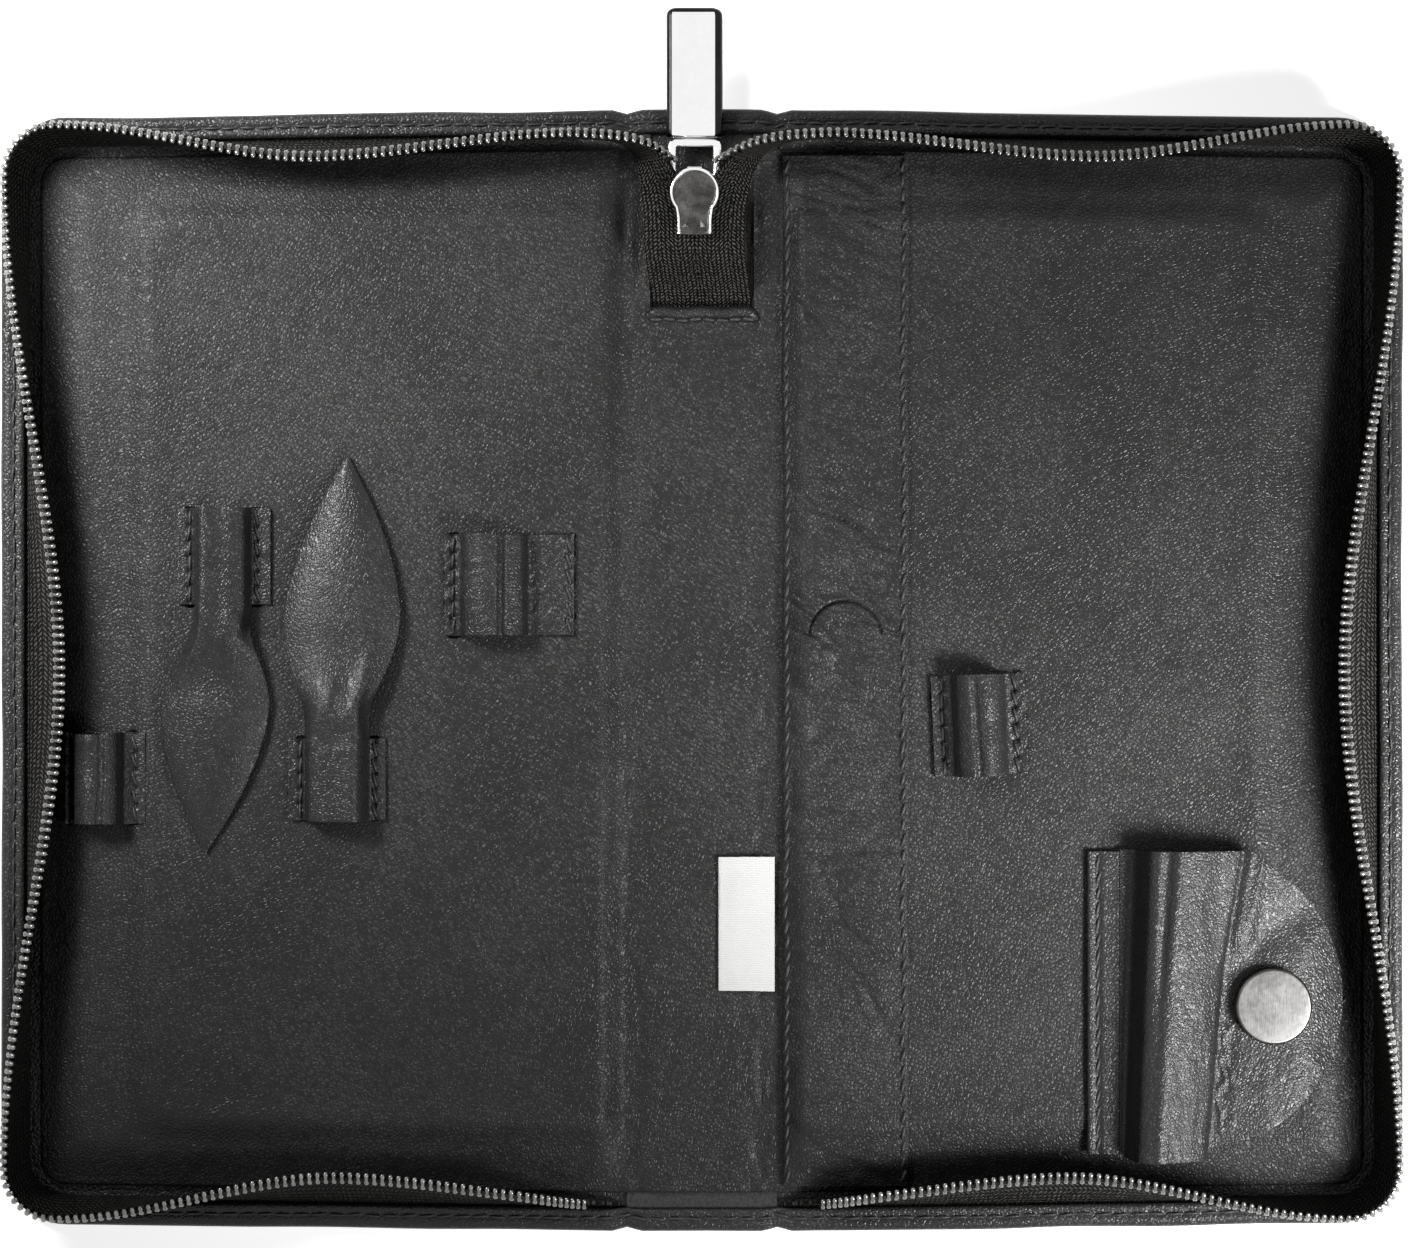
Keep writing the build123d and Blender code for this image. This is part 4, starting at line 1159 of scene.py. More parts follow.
@dataclass
class ZipRow:
    """Half of the zip: its standing tape, the loose turn into the slider, and the teeth on both."""

    plan: CasePlan
    side: Side
    inset: float = 4.1
    free: float = 12.7
    thickness: float = 0.5
    overhang: float = 0.8
    pitch: float = 1.2
    top_lean: float = 4.2
    side_lean: float = 7.0
    bottom_lean: float = 5.6
    corner_lean: float = -1.1
    top_lean_at_spine: float = 1.2
    bottom_lean_at_spine: float = 2.4
    top_start_gap: float = 7.8
    bottom_end_gap: float = 0.9
    dive_length: float = 15.0
    dive_left: float = 2.4
    slider_x: float = -1.1
    nose_y: float = 74.7
    tape_z: float = 9.1
    head_radius: float = 3.7
    tail_width: float = 7.4
    turn_steps: int = 45
    ribbon_rows: int = 14
    stand_rows: int = 16
    tooth_radius: float = 0.47

    def stations(self) -> Stations:
        """Places along the right sewn line.

        Returns:
            Feet, directions into the case, inward leans and free widths.
        """
        plan = self.plan
        r = plan.corner_radius - self.inset
        cx, cy = plan.corner()
        start_x, end_x = plan.fold_x + self.top_start_gap, plan.fold_x + self.bottom_end_gap
        leans = (
            (self.top_lean_at_spine, self.top_lean, self.corner_lean),
            (self.corner_lean, self.side_lean, self.corner_lean),
            (self.corner_lean, self.bottom_lean, self.bottom_lean_at_spine),
        )
        runs = (
            (np.array([start_x, plan.edge_y(start_x, self.inset)]), np.array([cx, cy + r]), (0.0, -1.0)),
            (np.array([cx + r, cy]), np.array([cx + r, -cy]), (-1.0, 0.0)),
            (np.array([cx, -cy - r]), np.array([end_x, -plan.edge_y(end_x, self.inset)]), (0.0, 1.0)),
        )
        feet, inward, lean, width = [], [], [], []
        for run, ((near, far, into), (first, mid, last)) in enumerate(zip(runs, leans)):
            length = float(np.linalg.norm(far - near))
            t = np.linspace(0, 1, round(length / 0.6) + 1)
            feet.append(near + (far - near) * t[:, None])
            inward.append(np.tile(into, (len(t), 1)))
            rise = np.where(t < 0.5, first + (mid - first) * smooth(2 * t), mid + (last - mid) * smooth(2 * t - 1))
            wide = np.full(len(t), self.free)
            if run == 2:
                dive = smooth((t * length - (length - self.dive_length)) / self.dive_length)
                wide -= (self.free - self.dive_left) * dive
            lean.append(rise * wide / self.free)
            width.append(wide)
            if run < 2:
                turn = np.radians(90 * np.arange(1, 12) / 12) + math.pi / 2 * run
                out = np.stack([np.sin(turn), np.cos(turn)], 1)
                feet.append(np.array([cx, cy if run == 0 else -cy]) + r * out)
                inward.append(-out)
                lean.append(np.full(11, self.corner_lean))
                width.append(np.full(11, self.free))
        return np.vstack(feet), np.vstack(inward), np.concatenate(lean), np.concatenate(width)

    def wall_point(self, stations: Stations, reach: Array) -> Array:
        """Points of the standing tape at a distance from the foot of each station."""
        feet, inward, lean, width = stations
        t = reach / width
        rise = np.sqrt(width**2 - lean**2)
        side = lean * (0.55 * t + 0.45 * smooth(t))
        return level(feet + inward * side[:, None], self.plan.shell + 0.25 + (rise - 0.25) * t)

    def turn_curves(self) -> tuple[Array, Array]:
        """Control points of the loose turn's foot edge and toothed edge, for this side."""
        s, plan = self.side.value, self.plan
        start_x = plan.fold_x + self.top_start_gap
        start_y = float(plan.edge_y(start_x, self.inset))
        low_z = plan.hem_top + self.thickness
        tip_z = plan.shell + math.sqrt(self.free**2 - self.top_lean_at_spine**2)
        lean = self.top_lean_at_spine
        foot = [
            (s * start_x, start_y - 0.2, low_z),
            (s * (plan.fold_x + 1.0), start_y - 0.2, low_z),
            (s * (plan.fold_x - 1.8), self.nose_y + 4.5, low_z + 0.4),
            (self.slider_x + s * (self.tail_width + 0.9), self.nose_y - 0.6, self.tape_z - 2.4),
        ]
        tip = [
            (s * start_x, start_y - lean, tip_z),
            (s * (plan.fold_x + 1.0), start_y - lean - 0.4, tip_z),
            (s * (plan.fold_x - 3.6), self.nose_y + 4.2, tip_z - 0.6),
            (self.slider_x + s * self.head_radius * 0.55, self.nose_y + 0.5, self.tape_z + 0.4),
        ]
        return np.array(foot), np.array(tip)

    def ribbon(self, low: Array, high: Array, along: Array, start: float = 0.0) -> tuple[Array, Array]:
        """Grid between two edges of tape with each point's place on the cloth."""
        t = np.linspace(0, 1, self.ribbon_rows)[:, None, None]
        grid = low[None] * (1 - t) + high[None] * t
        wide = np.linalg.norm(high - low, axis=1)[None] * t[..., 0]
        return grid, np.dstack([np.broadcast_to(along, wide.shape), start + wide])

    def standing(self, finish: Material) -> Piece:
        """Makes the standing tape."""
        stations = self.stations()
        feet, inward, _, width = stations
        along = walked(feet)
        rows, places = [], []
        for d, z in ((-2.6, 0.0), (-1.0, 0.0), (-0.35, 0.06)):
            rows.append(level(feet + inward * d, self.plan.shell + 0.27 + z))
            places.append(level(along, d))
        for share in np.linspace(0.03, 1, self.stand_rows):
            reach = (width - self.overhang) * share
            rows.append(self.wall_point(stations, reach))
            places.append(level(along, reach))
        surface = Surface().grid(np.stack(rows), place=np.stack(places))
        tape = thicken(mirrored(surface, self.side).piece(f"{self.side.word}_tape"), self.thickness, 0.0)
        dress(tape, finish)
        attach(tape, self.side.body)
        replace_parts(tape, f"{self.side.word}_zip_tape")
        return tape

    def strip(self) -> tuple[Array, Array]:
        """Both edges of the tape from the cover through the slider to the slot, the first part the turn."""
        foot, tip = self.turn_curves()
        t = np.linspace(0, 1, self.turn_steps)
        low, high = bezier(foot, t), bezier(tip, t)
        high = high - unit(high - low) * self.overhang
        s = self.side.value
        share = np.linspace(1, 0, 60)
        top = np.array([[self.slider_x, self.nose_y - 4.6, self.tape_z]])
        end = np.array([[0, self.plan.slot_y - 6.5, self.plan.shell + self.thickness / 2]])
        middle = evenly(np.vstack([top, self.tail_middle(share), end]), 70)
        droop = np.zeros_like(middle)
        droop[:, 2] = -1.5 * smooth((middle[:, 1] - self.plan.slot_y - 2) / 12)
        low = np.vstack([low, middle + droop + np.array([s * self.tail_width, 0, 0])])
        high = np.vstack([high, middle + np.array([s * 0.12, 0, 0])])
        ease = window(np.arange(len(low)), self.turn_steps, 13.0)[1:-1, None] * 0.5
        for _ in range(60):
            for edge in (low, high):
                edge[1:-1] += ease * ((edge[:-2] + edge[2:]) / 2 - edge[1:-1])
        return low, high

    def loose(self, finish: Material) -> Piece:
        """Makes the loose turn."""
        low, high = (edge[: self.turn_steps] for edge in self.strip())
        grid, places = self.ribbon(low, high, -walked(low), 2.1)
        tape = thicken(Surface().grid(grid, place=places).piece(f"{self.side.word}_turn"), self.thickness, 0.0)
        dress(tape, finish)
        self.bend(tape)
        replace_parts(tape, f"{self.side.word}_zip_turn")
        return tape

    def bend(self, obj: Piece) -> Piece:
        """Bakes into its mesh the place of a piece that runs from the slider to the cover's edge; it does not bend."""
        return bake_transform(obj)

    def teeth(self, rows: RowMaker, finish: Material) -> Piece:
        """Makes the teeth along the turn and the standing tape."""
        s = self.side.value
        stations = self.stations()
        _, inward, _, width = stations
        flip = np.array([s, 1.0, 1.0])
        tips, base = (self.wall_point(stations, width * share) * flip for share in (1.0, 0.8))
        out = level(-inward, 0.0) * flip
        foot, tip = self.turn_curves()
        t = np.linspace(1, 0, 90)[:-1]
        low, high = bezier(foot, t), bezier(tip, t)
        turn_up = unit(high - low)
        turn_out = np.cross(turn_up, headings(high)) * s
        line = np.vstack([high, tips])
        up = np.vstack([turn_up, unit(tips - base)])
        outs = np.vstack([unit(turn_out), out])
        keep = np.concatenate([np.full(len(high), 1e3), width]) > 4.4
        line, up, outs = line[keep], up[keep], outs[keep]
        along = walked(line)
        at = np.arange(self.pitch, along[-1] - 0.3, self.pitch)
        line, up, outs = (sampled(v, along, at) for v in (line, up, outs))
        row = rows.row(f"{self.side.word}_teeth", Repeat.TOOTH, line, unit(up), unit(outs), self.tooth_radius, finish)
        self.bend(row)
        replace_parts(row, f"{self.side.word}_zip_teeth", f"{self.side.word}_turn_teeth")
        return row

    def tail_middle(self, share: Array) -> Array:
        """Middle line of the tail from under the lining, at 0, to the slider's height, at 1."""
        rise_length = self.nose_y - 10.6 - self.plan.slot_y
        low_z = self.plan.shell + self.thickness / 2
        s = smooth(share)
        return np.stack(
            [self.slider_x * s, self.plan.slot_y + share * rise_length, low_z + (self.tape_z - low_z) * s], 1
        )

    def tail(self, finish: Material) -> Piece:
        """Makes this side's tape of the tail, from under the lining up and out through the slider's mouth."""
        s = self.side.value
        low, high = (edge[self.turn_steps - 1 :] for edge in self.strip())
        grid, places = self.ribbon(low, high, walked(low))
        wave = noise(places / 6.0, 71 + s) * 0.18 * smooth((grid[..., 1] - self.plan.slot_y) / 3)
        grid[..., 2] += wave
        surface = Surface().grid(grid[:, ::s], place=places[:, ::s])
        tape = thicken(surface.piece(f"{self.side.word}_tail"), self.thickness, 0.0)
        dress(tape, finish)
        self.stretch(tape)
        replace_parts(tape, f"{self.side.word}_zip_tail")
        return tape

    def stretch(self, obj: Piece) -> Piece:
        """Bakes into its mesh the place of a piece of the tail between the spine and the slider; it does not stretch.
        """
        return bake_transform(obj)


@dataclass
class TailTeeth:
    """The closed teeth under the tail."""

    zip_row: ZipRow

    def build(self, rows: RowMaker, finish: Material) -> Piece:
        """Makes the teeth, left and right in turn."""
        own = self.zip_row
        line = np.vstack(
            [own.tail_middle(np.linspace(0.25, 1, 30)), [[own.slider_x, own.nose_y - 4.6, own.tape_z]]]
        )
        line = evenly(line, 400)
        at = np.arange(0.3, walked(line)[-1], own.pitch / 2)
        places, ways = stops(line, at)
        sign = np.where(np.arange(len(at)) % 2 == 0, 1.0, -1.0)[:, None]
        across = np.array([-1.0, 0, 0]) * sign
        below = np.cross(np.array([1.0, 0, 0]), ways) * -1
        places = places + across * 0.6 + below * 0.5
        row = rows.row("tail_teeth_closed", Repeat.TOOTH, places, across + 0 * places, below, 0.3, finish)
        own.stretch(row)
        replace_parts(row, "tail_teeth")
        return row


def fillet_loop(corners: Sequence[Point], steps: int = 8) -> Array:
    """Closed outline through corners, each rounded by its own radius.

    Args:
        corners: Points as (x, y, radius), in order.
        steps: Number of steps round each corner.

    Returns:
        Points of shape (count, 2).
    """
    p = np.array([c[:2] for c in corners], float)
    loop = []
    for i, (_, _, r) in enumerate(corners):
        here, before, after = p[i], p[i - 1], p[(i + 1) % len(p)]
        a, b = unit(before - here), unit(after - here)
        half = math.acos(float(np.clip(a @ b, -1, 1))) / 2
        reach = r / math.tan(half)
        t = np.linspace(0, 1, steps + 1)[:, None]
        start, end = here + a * reach, here + b * reach
        weight = math.sin(half)
        mix = (1 - t) ** 2 * start + 2 * t * (1 - t) * weight * here + t**2 * end
        loop.append(mix / ((1 - t) ** 2 + 2 * t * (1 - t) * weight + t**2))
    return np.vstack(loop)


def rounded_bar(half_width: float, half_height: float, r: float, steps: int) -> Array:
    """Section of a flat bar with rounded corners."""
    a, b = half_width, half_height
    return fillet_loop([(-a, -b, r), (a, -b, r), (a, b, r), (-a, b, r)], steps)


def swept(line: Array, section: Array, up: Array, closed: bool = False) -> Surface:
    """Sweeps a closed section along a line.

    Args:
        line: Points of shape (count, 3).
        section: Points of shape (count, 2), across and up.
        up: Direction that stays up, one for the whole line.
        closed: Joins the line's end to its start.

    Returns:
        The surface; its ends are left open where the line isn't closed.
    """
    way = headings(line, closed)
    side = unit(np.cross(way, np.broadcast_to(up, way.shape)))
    top = unit(np.cross(side, way))
    grid = line[:, None] + side[:, None] * section[None, :, :1] + top[:, None] * section[None, :, 1:]
    return Surface().grid(grid, round_rows=closed, round_columns=True)


@dataclass
class Slider:
    """The zip's slider: two rimmed plates, the wedge between them and the bail below."""

    x: float = -1.1
    nose_y: float = 74.7
    base_z: float = 6.4
    head_radius: float = 3.7
    neck_width: float = 5.2
    length: float = 10.0
    plate: float = 0.9
    channel: float = 2.7
    rim: float = 0.46
    wedge_width: float = 1.9
    bail_width: float = 2.2
    bail_strap: float = 0.7
    bail_depth: float = 2.4
    bail_length: float = 7.0
    bail_nose: float = 0.25

    def outline(self, inset: float = 0.0) -> Array:
        """Outline of the plates round the slider's nose: a round head and a narrower neck."""
        r, n, end = self.head_radius - inset, self.neck_width / 2 - inset, self.length - inset
        turn = np.radians(np.linspace(0, 130, 34))
        head = np.stack([r * np.sin(turn), -self.head_radius + r * np.cos(turn)], 1)
        shoulder = through([head[-1], (n + 0.1, -7.0), (n, -8.0)], 8)[1:]
        tail = np.array([(n, -8.9), (n, -end + 0.3), (n - 0.08, -end + 0.08), (n - 0.3, -end), (n * 0.4, -end)])
        half = np.vstack([head, shoulder, tail])
        return np.vstack([half, half[:0:-1] * np.array([-1, 1])])

    def place(self, p: Array) -> Array:
        """Moves points from the slider's nose to its place in the case."""
        return p + np.array([self.x, self.nose_y, 0.0])

    def top_plate(self, metal: Material, face: Material) -> Piece:
        """Makes the plate that shows, a bright rim round a dull dished face."""
        low, high = self.base_z + self.plate + self.channel, self.base_z + 2 * self.plate + self.channel
        rim = self.rim
        profile = [
            (1.4, low), (0.4, low), (0.1, low + 0.06), (0.0, low + 0.2), (0.0, high - 0.34), (0.08, high - 0.14),
            (0.18, high - 0.03), (0.28, high), (rim - 0.1, high - 0.02), (rim, high - 0.12), (rim + 0.08, high - 0.24),
            (rim + 0.25, high - 0.27), (1.3, high - 0.22), (1.7, high - 0.18),
        ]
        plate = self.block(profile).moved(self.open_end(high - 0.27)).moved(self.place)
        plate = plate.piece("slider_top_plate", crease=50, close=True, turn=True)
        dress(plate, metal, face)
        inner = self.outline(rim + 0.02)
        for polygon in plate.data.polygons:
            local = np.array([polygon.center.x / MM - self.x, polygon.center.y / MM - self.nose_y])
            if polygon.center.z > (high - 0.45) * MM and polygon.normal.z > 0.05:
                across = np.interp(-local[1], -inner[: len(inner) // 2, 1], inner[: len(inner) // 2, 0])
                across = max(across, self.neck_width / 2 - rim - 0.02) if local[1] < -8.5 else across
                from_head = np.hypot(local[0], local[1] + self.head_radius)
                in_head = local[1] < -self.head_radius or from_head < self.head_radius - rim
                polygon.material_index = 1 if abs(local[0]) < across and in_head else 0
        return plate

    def block(self, profile: Profile) -> Surface:
        """A block with the plates' outline whose rim follows a profile of (inset, height)."""
        rings = [level(self.outline(inset), z) for inset, z in profile]
        return Surface().grid(np.stack(rings), round_columns=True)

    def open_end(self, level: float) -> Callable[[Array], Array]:
        """Rule that lowers the rim to a level across the slider's tail."""

        def lower(p: Array) -> Array:
            inner = self.neck_width / 2 - self.rim
            at_end = smooth((-p[:, 1] - self.length + 1.1) / 0.3) * smooth((inner + 0.08 - np.abs(p[:, 0])) / 0.12)
            z = p[:, 2] - at_end * np.maximum(p[:, 2] - level, 0)
            return np.column_stack([p[:, :2], z])

        return lower

    def build(self, metal: Material, face: Material) -> list[Piece]:
        """Makes the slider's pieces.

        Args:
            metal: Bright plating.
            face: The dull finish of the dished face.

        Returns:
            The plates with their flanges, the wedge and the bail.
        """
        base, plate, channel = self.base_z, self.plate, self.channel
        floor = base + plate
        profile = [
            (1.5, floor), (0.7, floor), (0.62, floor + 0.9), (0.5, floor + 1.3), (0.12, floor + 1.3),
            (0.0, floor + 1.15), (0.0, base + 0.3), (0.1, base + 0.09), (0.3, base), (1.5, base),
        ]
        lower = self.block(profile).moved(self.place)
        lower_plate = dress(lower.piece("slider_lower_plate", crease=50, close=True, turn=True), metal)
        top = self.top_plate(metal, face)
        w = self.wedge_width / 2
        wedge_loop = fillet_loop([(0, -3.2, 0.1), (w, -1.9, 0.4), (0, -0.3, 0.2), (-w, -1.9, 0.4)], 4)
        heights = (base + plate - 0.1, base + plate + channel + 0.1)
        wedge = Surface().grid(np.stack([level(wedge_loop, z) for z in heights]), round_columns=True)
        wedge_piece = dress(wedge.moved(self.place).piece("slider_wedge", close=True, turn=True), metal)
        front, depth = self.bail_nose, self.bail_depth + self.bail_strap / 2
        back = front + self.bail_strap - self.bail_length
        corners = [(front, 0.45, 0.2), (front, -depth, 1.0), (back, -depth, 1.0), (back, 0.45, 0.2)]
        path = fillet_loop(corners, 8)[5:-4]
        line = np.column_stack([np.zeros(len(path)), path[:, 0], base + path[:, 1]])
        section = rounded_bar(self.bail_width / 2, self.bail_strap / 2, 0.2, 3)[:, ::-1]
        strap = swept(self.place(line), section, np.array([1.0, 0, 0]))
        bail = dress(strap.piece("slider_bail_strap", crease=50, close=True, turn=True), metal)
        for piece in (lower_plate, top, wedge_piece, bail):
            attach(piece, "slider")
        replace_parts(top, "slider_body")
        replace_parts(bail, "slider_bail")
        return [lower_plate, top, wedge_piece, bail]


@dataclass
class Pull:
    """The slider's pull: a square link and a long polished grip whose sides carry a painted dark reflection."""

    x: float = -1.1
    pivot_y: float = 73.83
    pivot_z: float = 4.9
    pin_radius: float = 0.65
    inner_width: float = 5.4
    arm: float = 1.35
    length: float = 6.55
    width: float = 8.4
    grip_start: float = 5.96
    grip_length: float = 19.4
    thickness: float = 3.3
    drop: float = 0.1
    end_round: float = 1.25
    tip_round: float = 0.9

    def place(self, p: Array) -> Array:
        """Moves points from the pull's pin to its place in the case."""
        return p + np.array([self.x, self.pivot_y, self.pivot_z])

    def build(self, chrome: Material, dark: Material) -> list[Piece]:
        """Makes the link and the grip."""
        half, near, far = (self.inner_width + self.arm) / 2, 0.0, self.length - self.pin_radius - self.arm / 2
        loop = fillet_loop([(-half, near, 0.5), (half, near, 0.5), (half, far, 0.7), (-half, far, 0.7)], 8)
        line = level(loop, 0.0)
        section = rounded_bar(self.arm / 2, self.pin_radius, 0.42, 5)
        ring = swept(line, section, UP, closed=True).moved(self.place)
        link = dress(ring.piece("pull_link_ring", crease=60, turn=True), chrome)
        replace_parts(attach(link, "pull"), "pull_link")
        return [link, self.grip(chrome, dark)]

    def grip(self, chrome: Material, dark: Material) -> Piece:
        """Makes the grip, a polished bar whose rounded sides and far end carry a painted dark reflection."""
        w, t, y0, y1 = self.width / 2, self.thickness / 2, self.grip_start, self.grip_start + self.grip_length
        ys = [y0, y0 + 0.02, y0 + 0.15, y0 + 0.5, y0 + 1.3, *np.linspace(y0 + 2.4, y1 - 2.4, 12)]
        ys += [y1 - 1.9, y1 - 1.3, y1 - 0.8, y1 - 0.45, y1 - 0.2, y1 - 0.06, y1]
        rows = []
        for y in ys:
            end, start = y1 - y, y - y0
            narrow, thin = float(rounding(end, self.end_round)), float(rounding(end, self.tip_round))
            thin += 0.25 * max(1 - start / 0.25, 0)
            hw, ht = max(w - narrow - 0.1 * max(1 - start / 0.3, 0), 0.4), max(t - thin, 0.3)
            r, left = min(1.15, ht - 0.02), min(0.8, ht - 0.02)
            ring = fillet_loop([(-hw, -ht, left), (hw, -ht, r), (hw, ht, r), (-hw, ht, left)], 6)
            rows.append(np.column_stack([ring[:, 0], np.full(len(ring), y), ring[:, 1] - self.drop]))
        surface = Surface().grid(np.stack(rows), round_columns=True).moved(self.place)
        grip = dress(surface.piece("pull_grip_bar", crease=60, close=True, turn=True), chrome, dark)
        # Faces on the rounded sides and the far end take the second, darker chrome, which paints the dark reflection
        # those sides show.
        for polygon in grip.data.polygons:
            rim = abs(polygon.center.x / MM - self.x) > w - 1.16 or polygon.center.y / MM > self.pivot_y + y1 - 0.9
            polygon.material_index = 1 if rim and polygon.normal.z < 0.9995 else 0
        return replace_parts(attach(grip, "pull"), "pull_grip")


# ------------------------------ spine's small pieces ------------------------------


@dataclass
class SpineFittings:
    """The stitched welt over the tail's end and the bare cloth label."""

    plan: CasePlan
    welt_width: float = 1.9
    welt_rise: float = 1.0
    label_width: float = 8.4
    label_length: float = 20.1
    label_thickness: float = 0.22
    label_x: float = 6.7
    label_y: float = -38.0

    def welt(self, rows: RowMaker, finish: Material, thread: Material) -> list[Piece]:
        """Makes the rolled edge where the tail goes under the lining, with its stitches."""
        half, y0 = self.plan.notch_half + 0.2, self.plan.slot_y
        x = np.linspace(-half, half, 70)
        wave = ripple(x, 3.0, 91) * 0.16
        ends = smooth((half - np.abs(x)) / 0.9)
        base = self.plan.hem_top - 0.55 + 0.45 * ends
        line = np.column_stack([x, y0 - self.welt_width / 2 + 0.15 + wave, base])
        line[:, 1] -= (1 - ends) * 0.6
        angle = np.linspace(0, 2 * math.pi, 14, endpoint=False)
        ring = np.stack([np.cos(angle) * self.welt_width / 2, np.sin(angle) * self.welt_rise], 1)
        roll = swept(line, ring, UP)
        welt = dress(roll.piece("tail_welt_roll", close=True, turn=True), finish)
        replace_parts(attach(welt, "spine"), "tail_welt")
        below = np.column_stack([x, y0 - self.welt_width + 0.05 + wave])
        seam_line = level(below, self.plan.hem_top + 0.2)
        seam = rows.seam("welt_stitches", seam_line, thread, pitch=1.9, length=1.5, radius=0.3)
        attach(seam, "spine")
        return [welt, seam]

    def label(self, finish: Material) -> Piece:
        """Makes the folded cloth label with nothing on it."""
        w, l = self.label_width, self.label_length
        z = self.plan.hem_top + 0.16
        lift = 0.46
        section = [(w / 2, z)] + [(-w / 2 + 0.3 + (w - 0.3) * t, z) for t in np.linspace(0.95, 0, 22)]
        section += [(-w / 2 + 0.02, z + 0.06), (-w / 2 - 0.06, z + lift / 2), (-w / 2 + 0.02, z + lift - 0.06)]
        section += [(-w / 2 + 0.3 + (w - 0.3) * t, z + lift) for t in np.linspace(0, 1, 24)]
        ys = np.linspace(-l / 2, l / 2, 60)
        line = np.array(section)
        grid = extruded(line, ys)
        q = grid[..., :2] / 5.0
        upper = np.arange(len(line)) > 24
        grid[..., 2] += noise(q, 93) * 0.10 * upper + 0.16 * smooth((line[:, 0] + w / 2) / 3)[None] * upper
        grid[..., 2] += 0.14 * smooth((np.abs(grid[..., 1]) - l / 2 + 2.2) / 2.2) * upper
        grid[..., 1] += noise(q * 1.3 + 5, 94) * 0.08
        grid += np.array([self.label_x, self.label_y, 0.0])
        along = walked(line)
        places = np.dstack([np.broadcast_to(along, grid.shape[:2]), np.broadcast_to(ys[:, None], grid.shape[:2])])
        surface = Surface().grid(grid, place=places)
        tag = thicken(surface.piece("cloth_label"), self.label_thickness, -1.0)
        dress(tag, finish)
        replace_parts(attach(tag, "spine"), "blank_label")
        return tag


# ------------------------------ loops, leaves, pocket and flap ------------------------------


def pressed(grid: Array, holes: Array, depth: float, radius: float) -> Array:
    """Lowers a grid of points round each of some holes."""
    flat = grid.reshape(-1, 3).copy()
    gap = np.min(np.linalg.norm(flat[:, None, :2] - holes[None, :, :2], axis=2), axis=1)
    flat[:, 2] -= depth * bell(gap, radius)
    return flat.reshape(grid.shape)


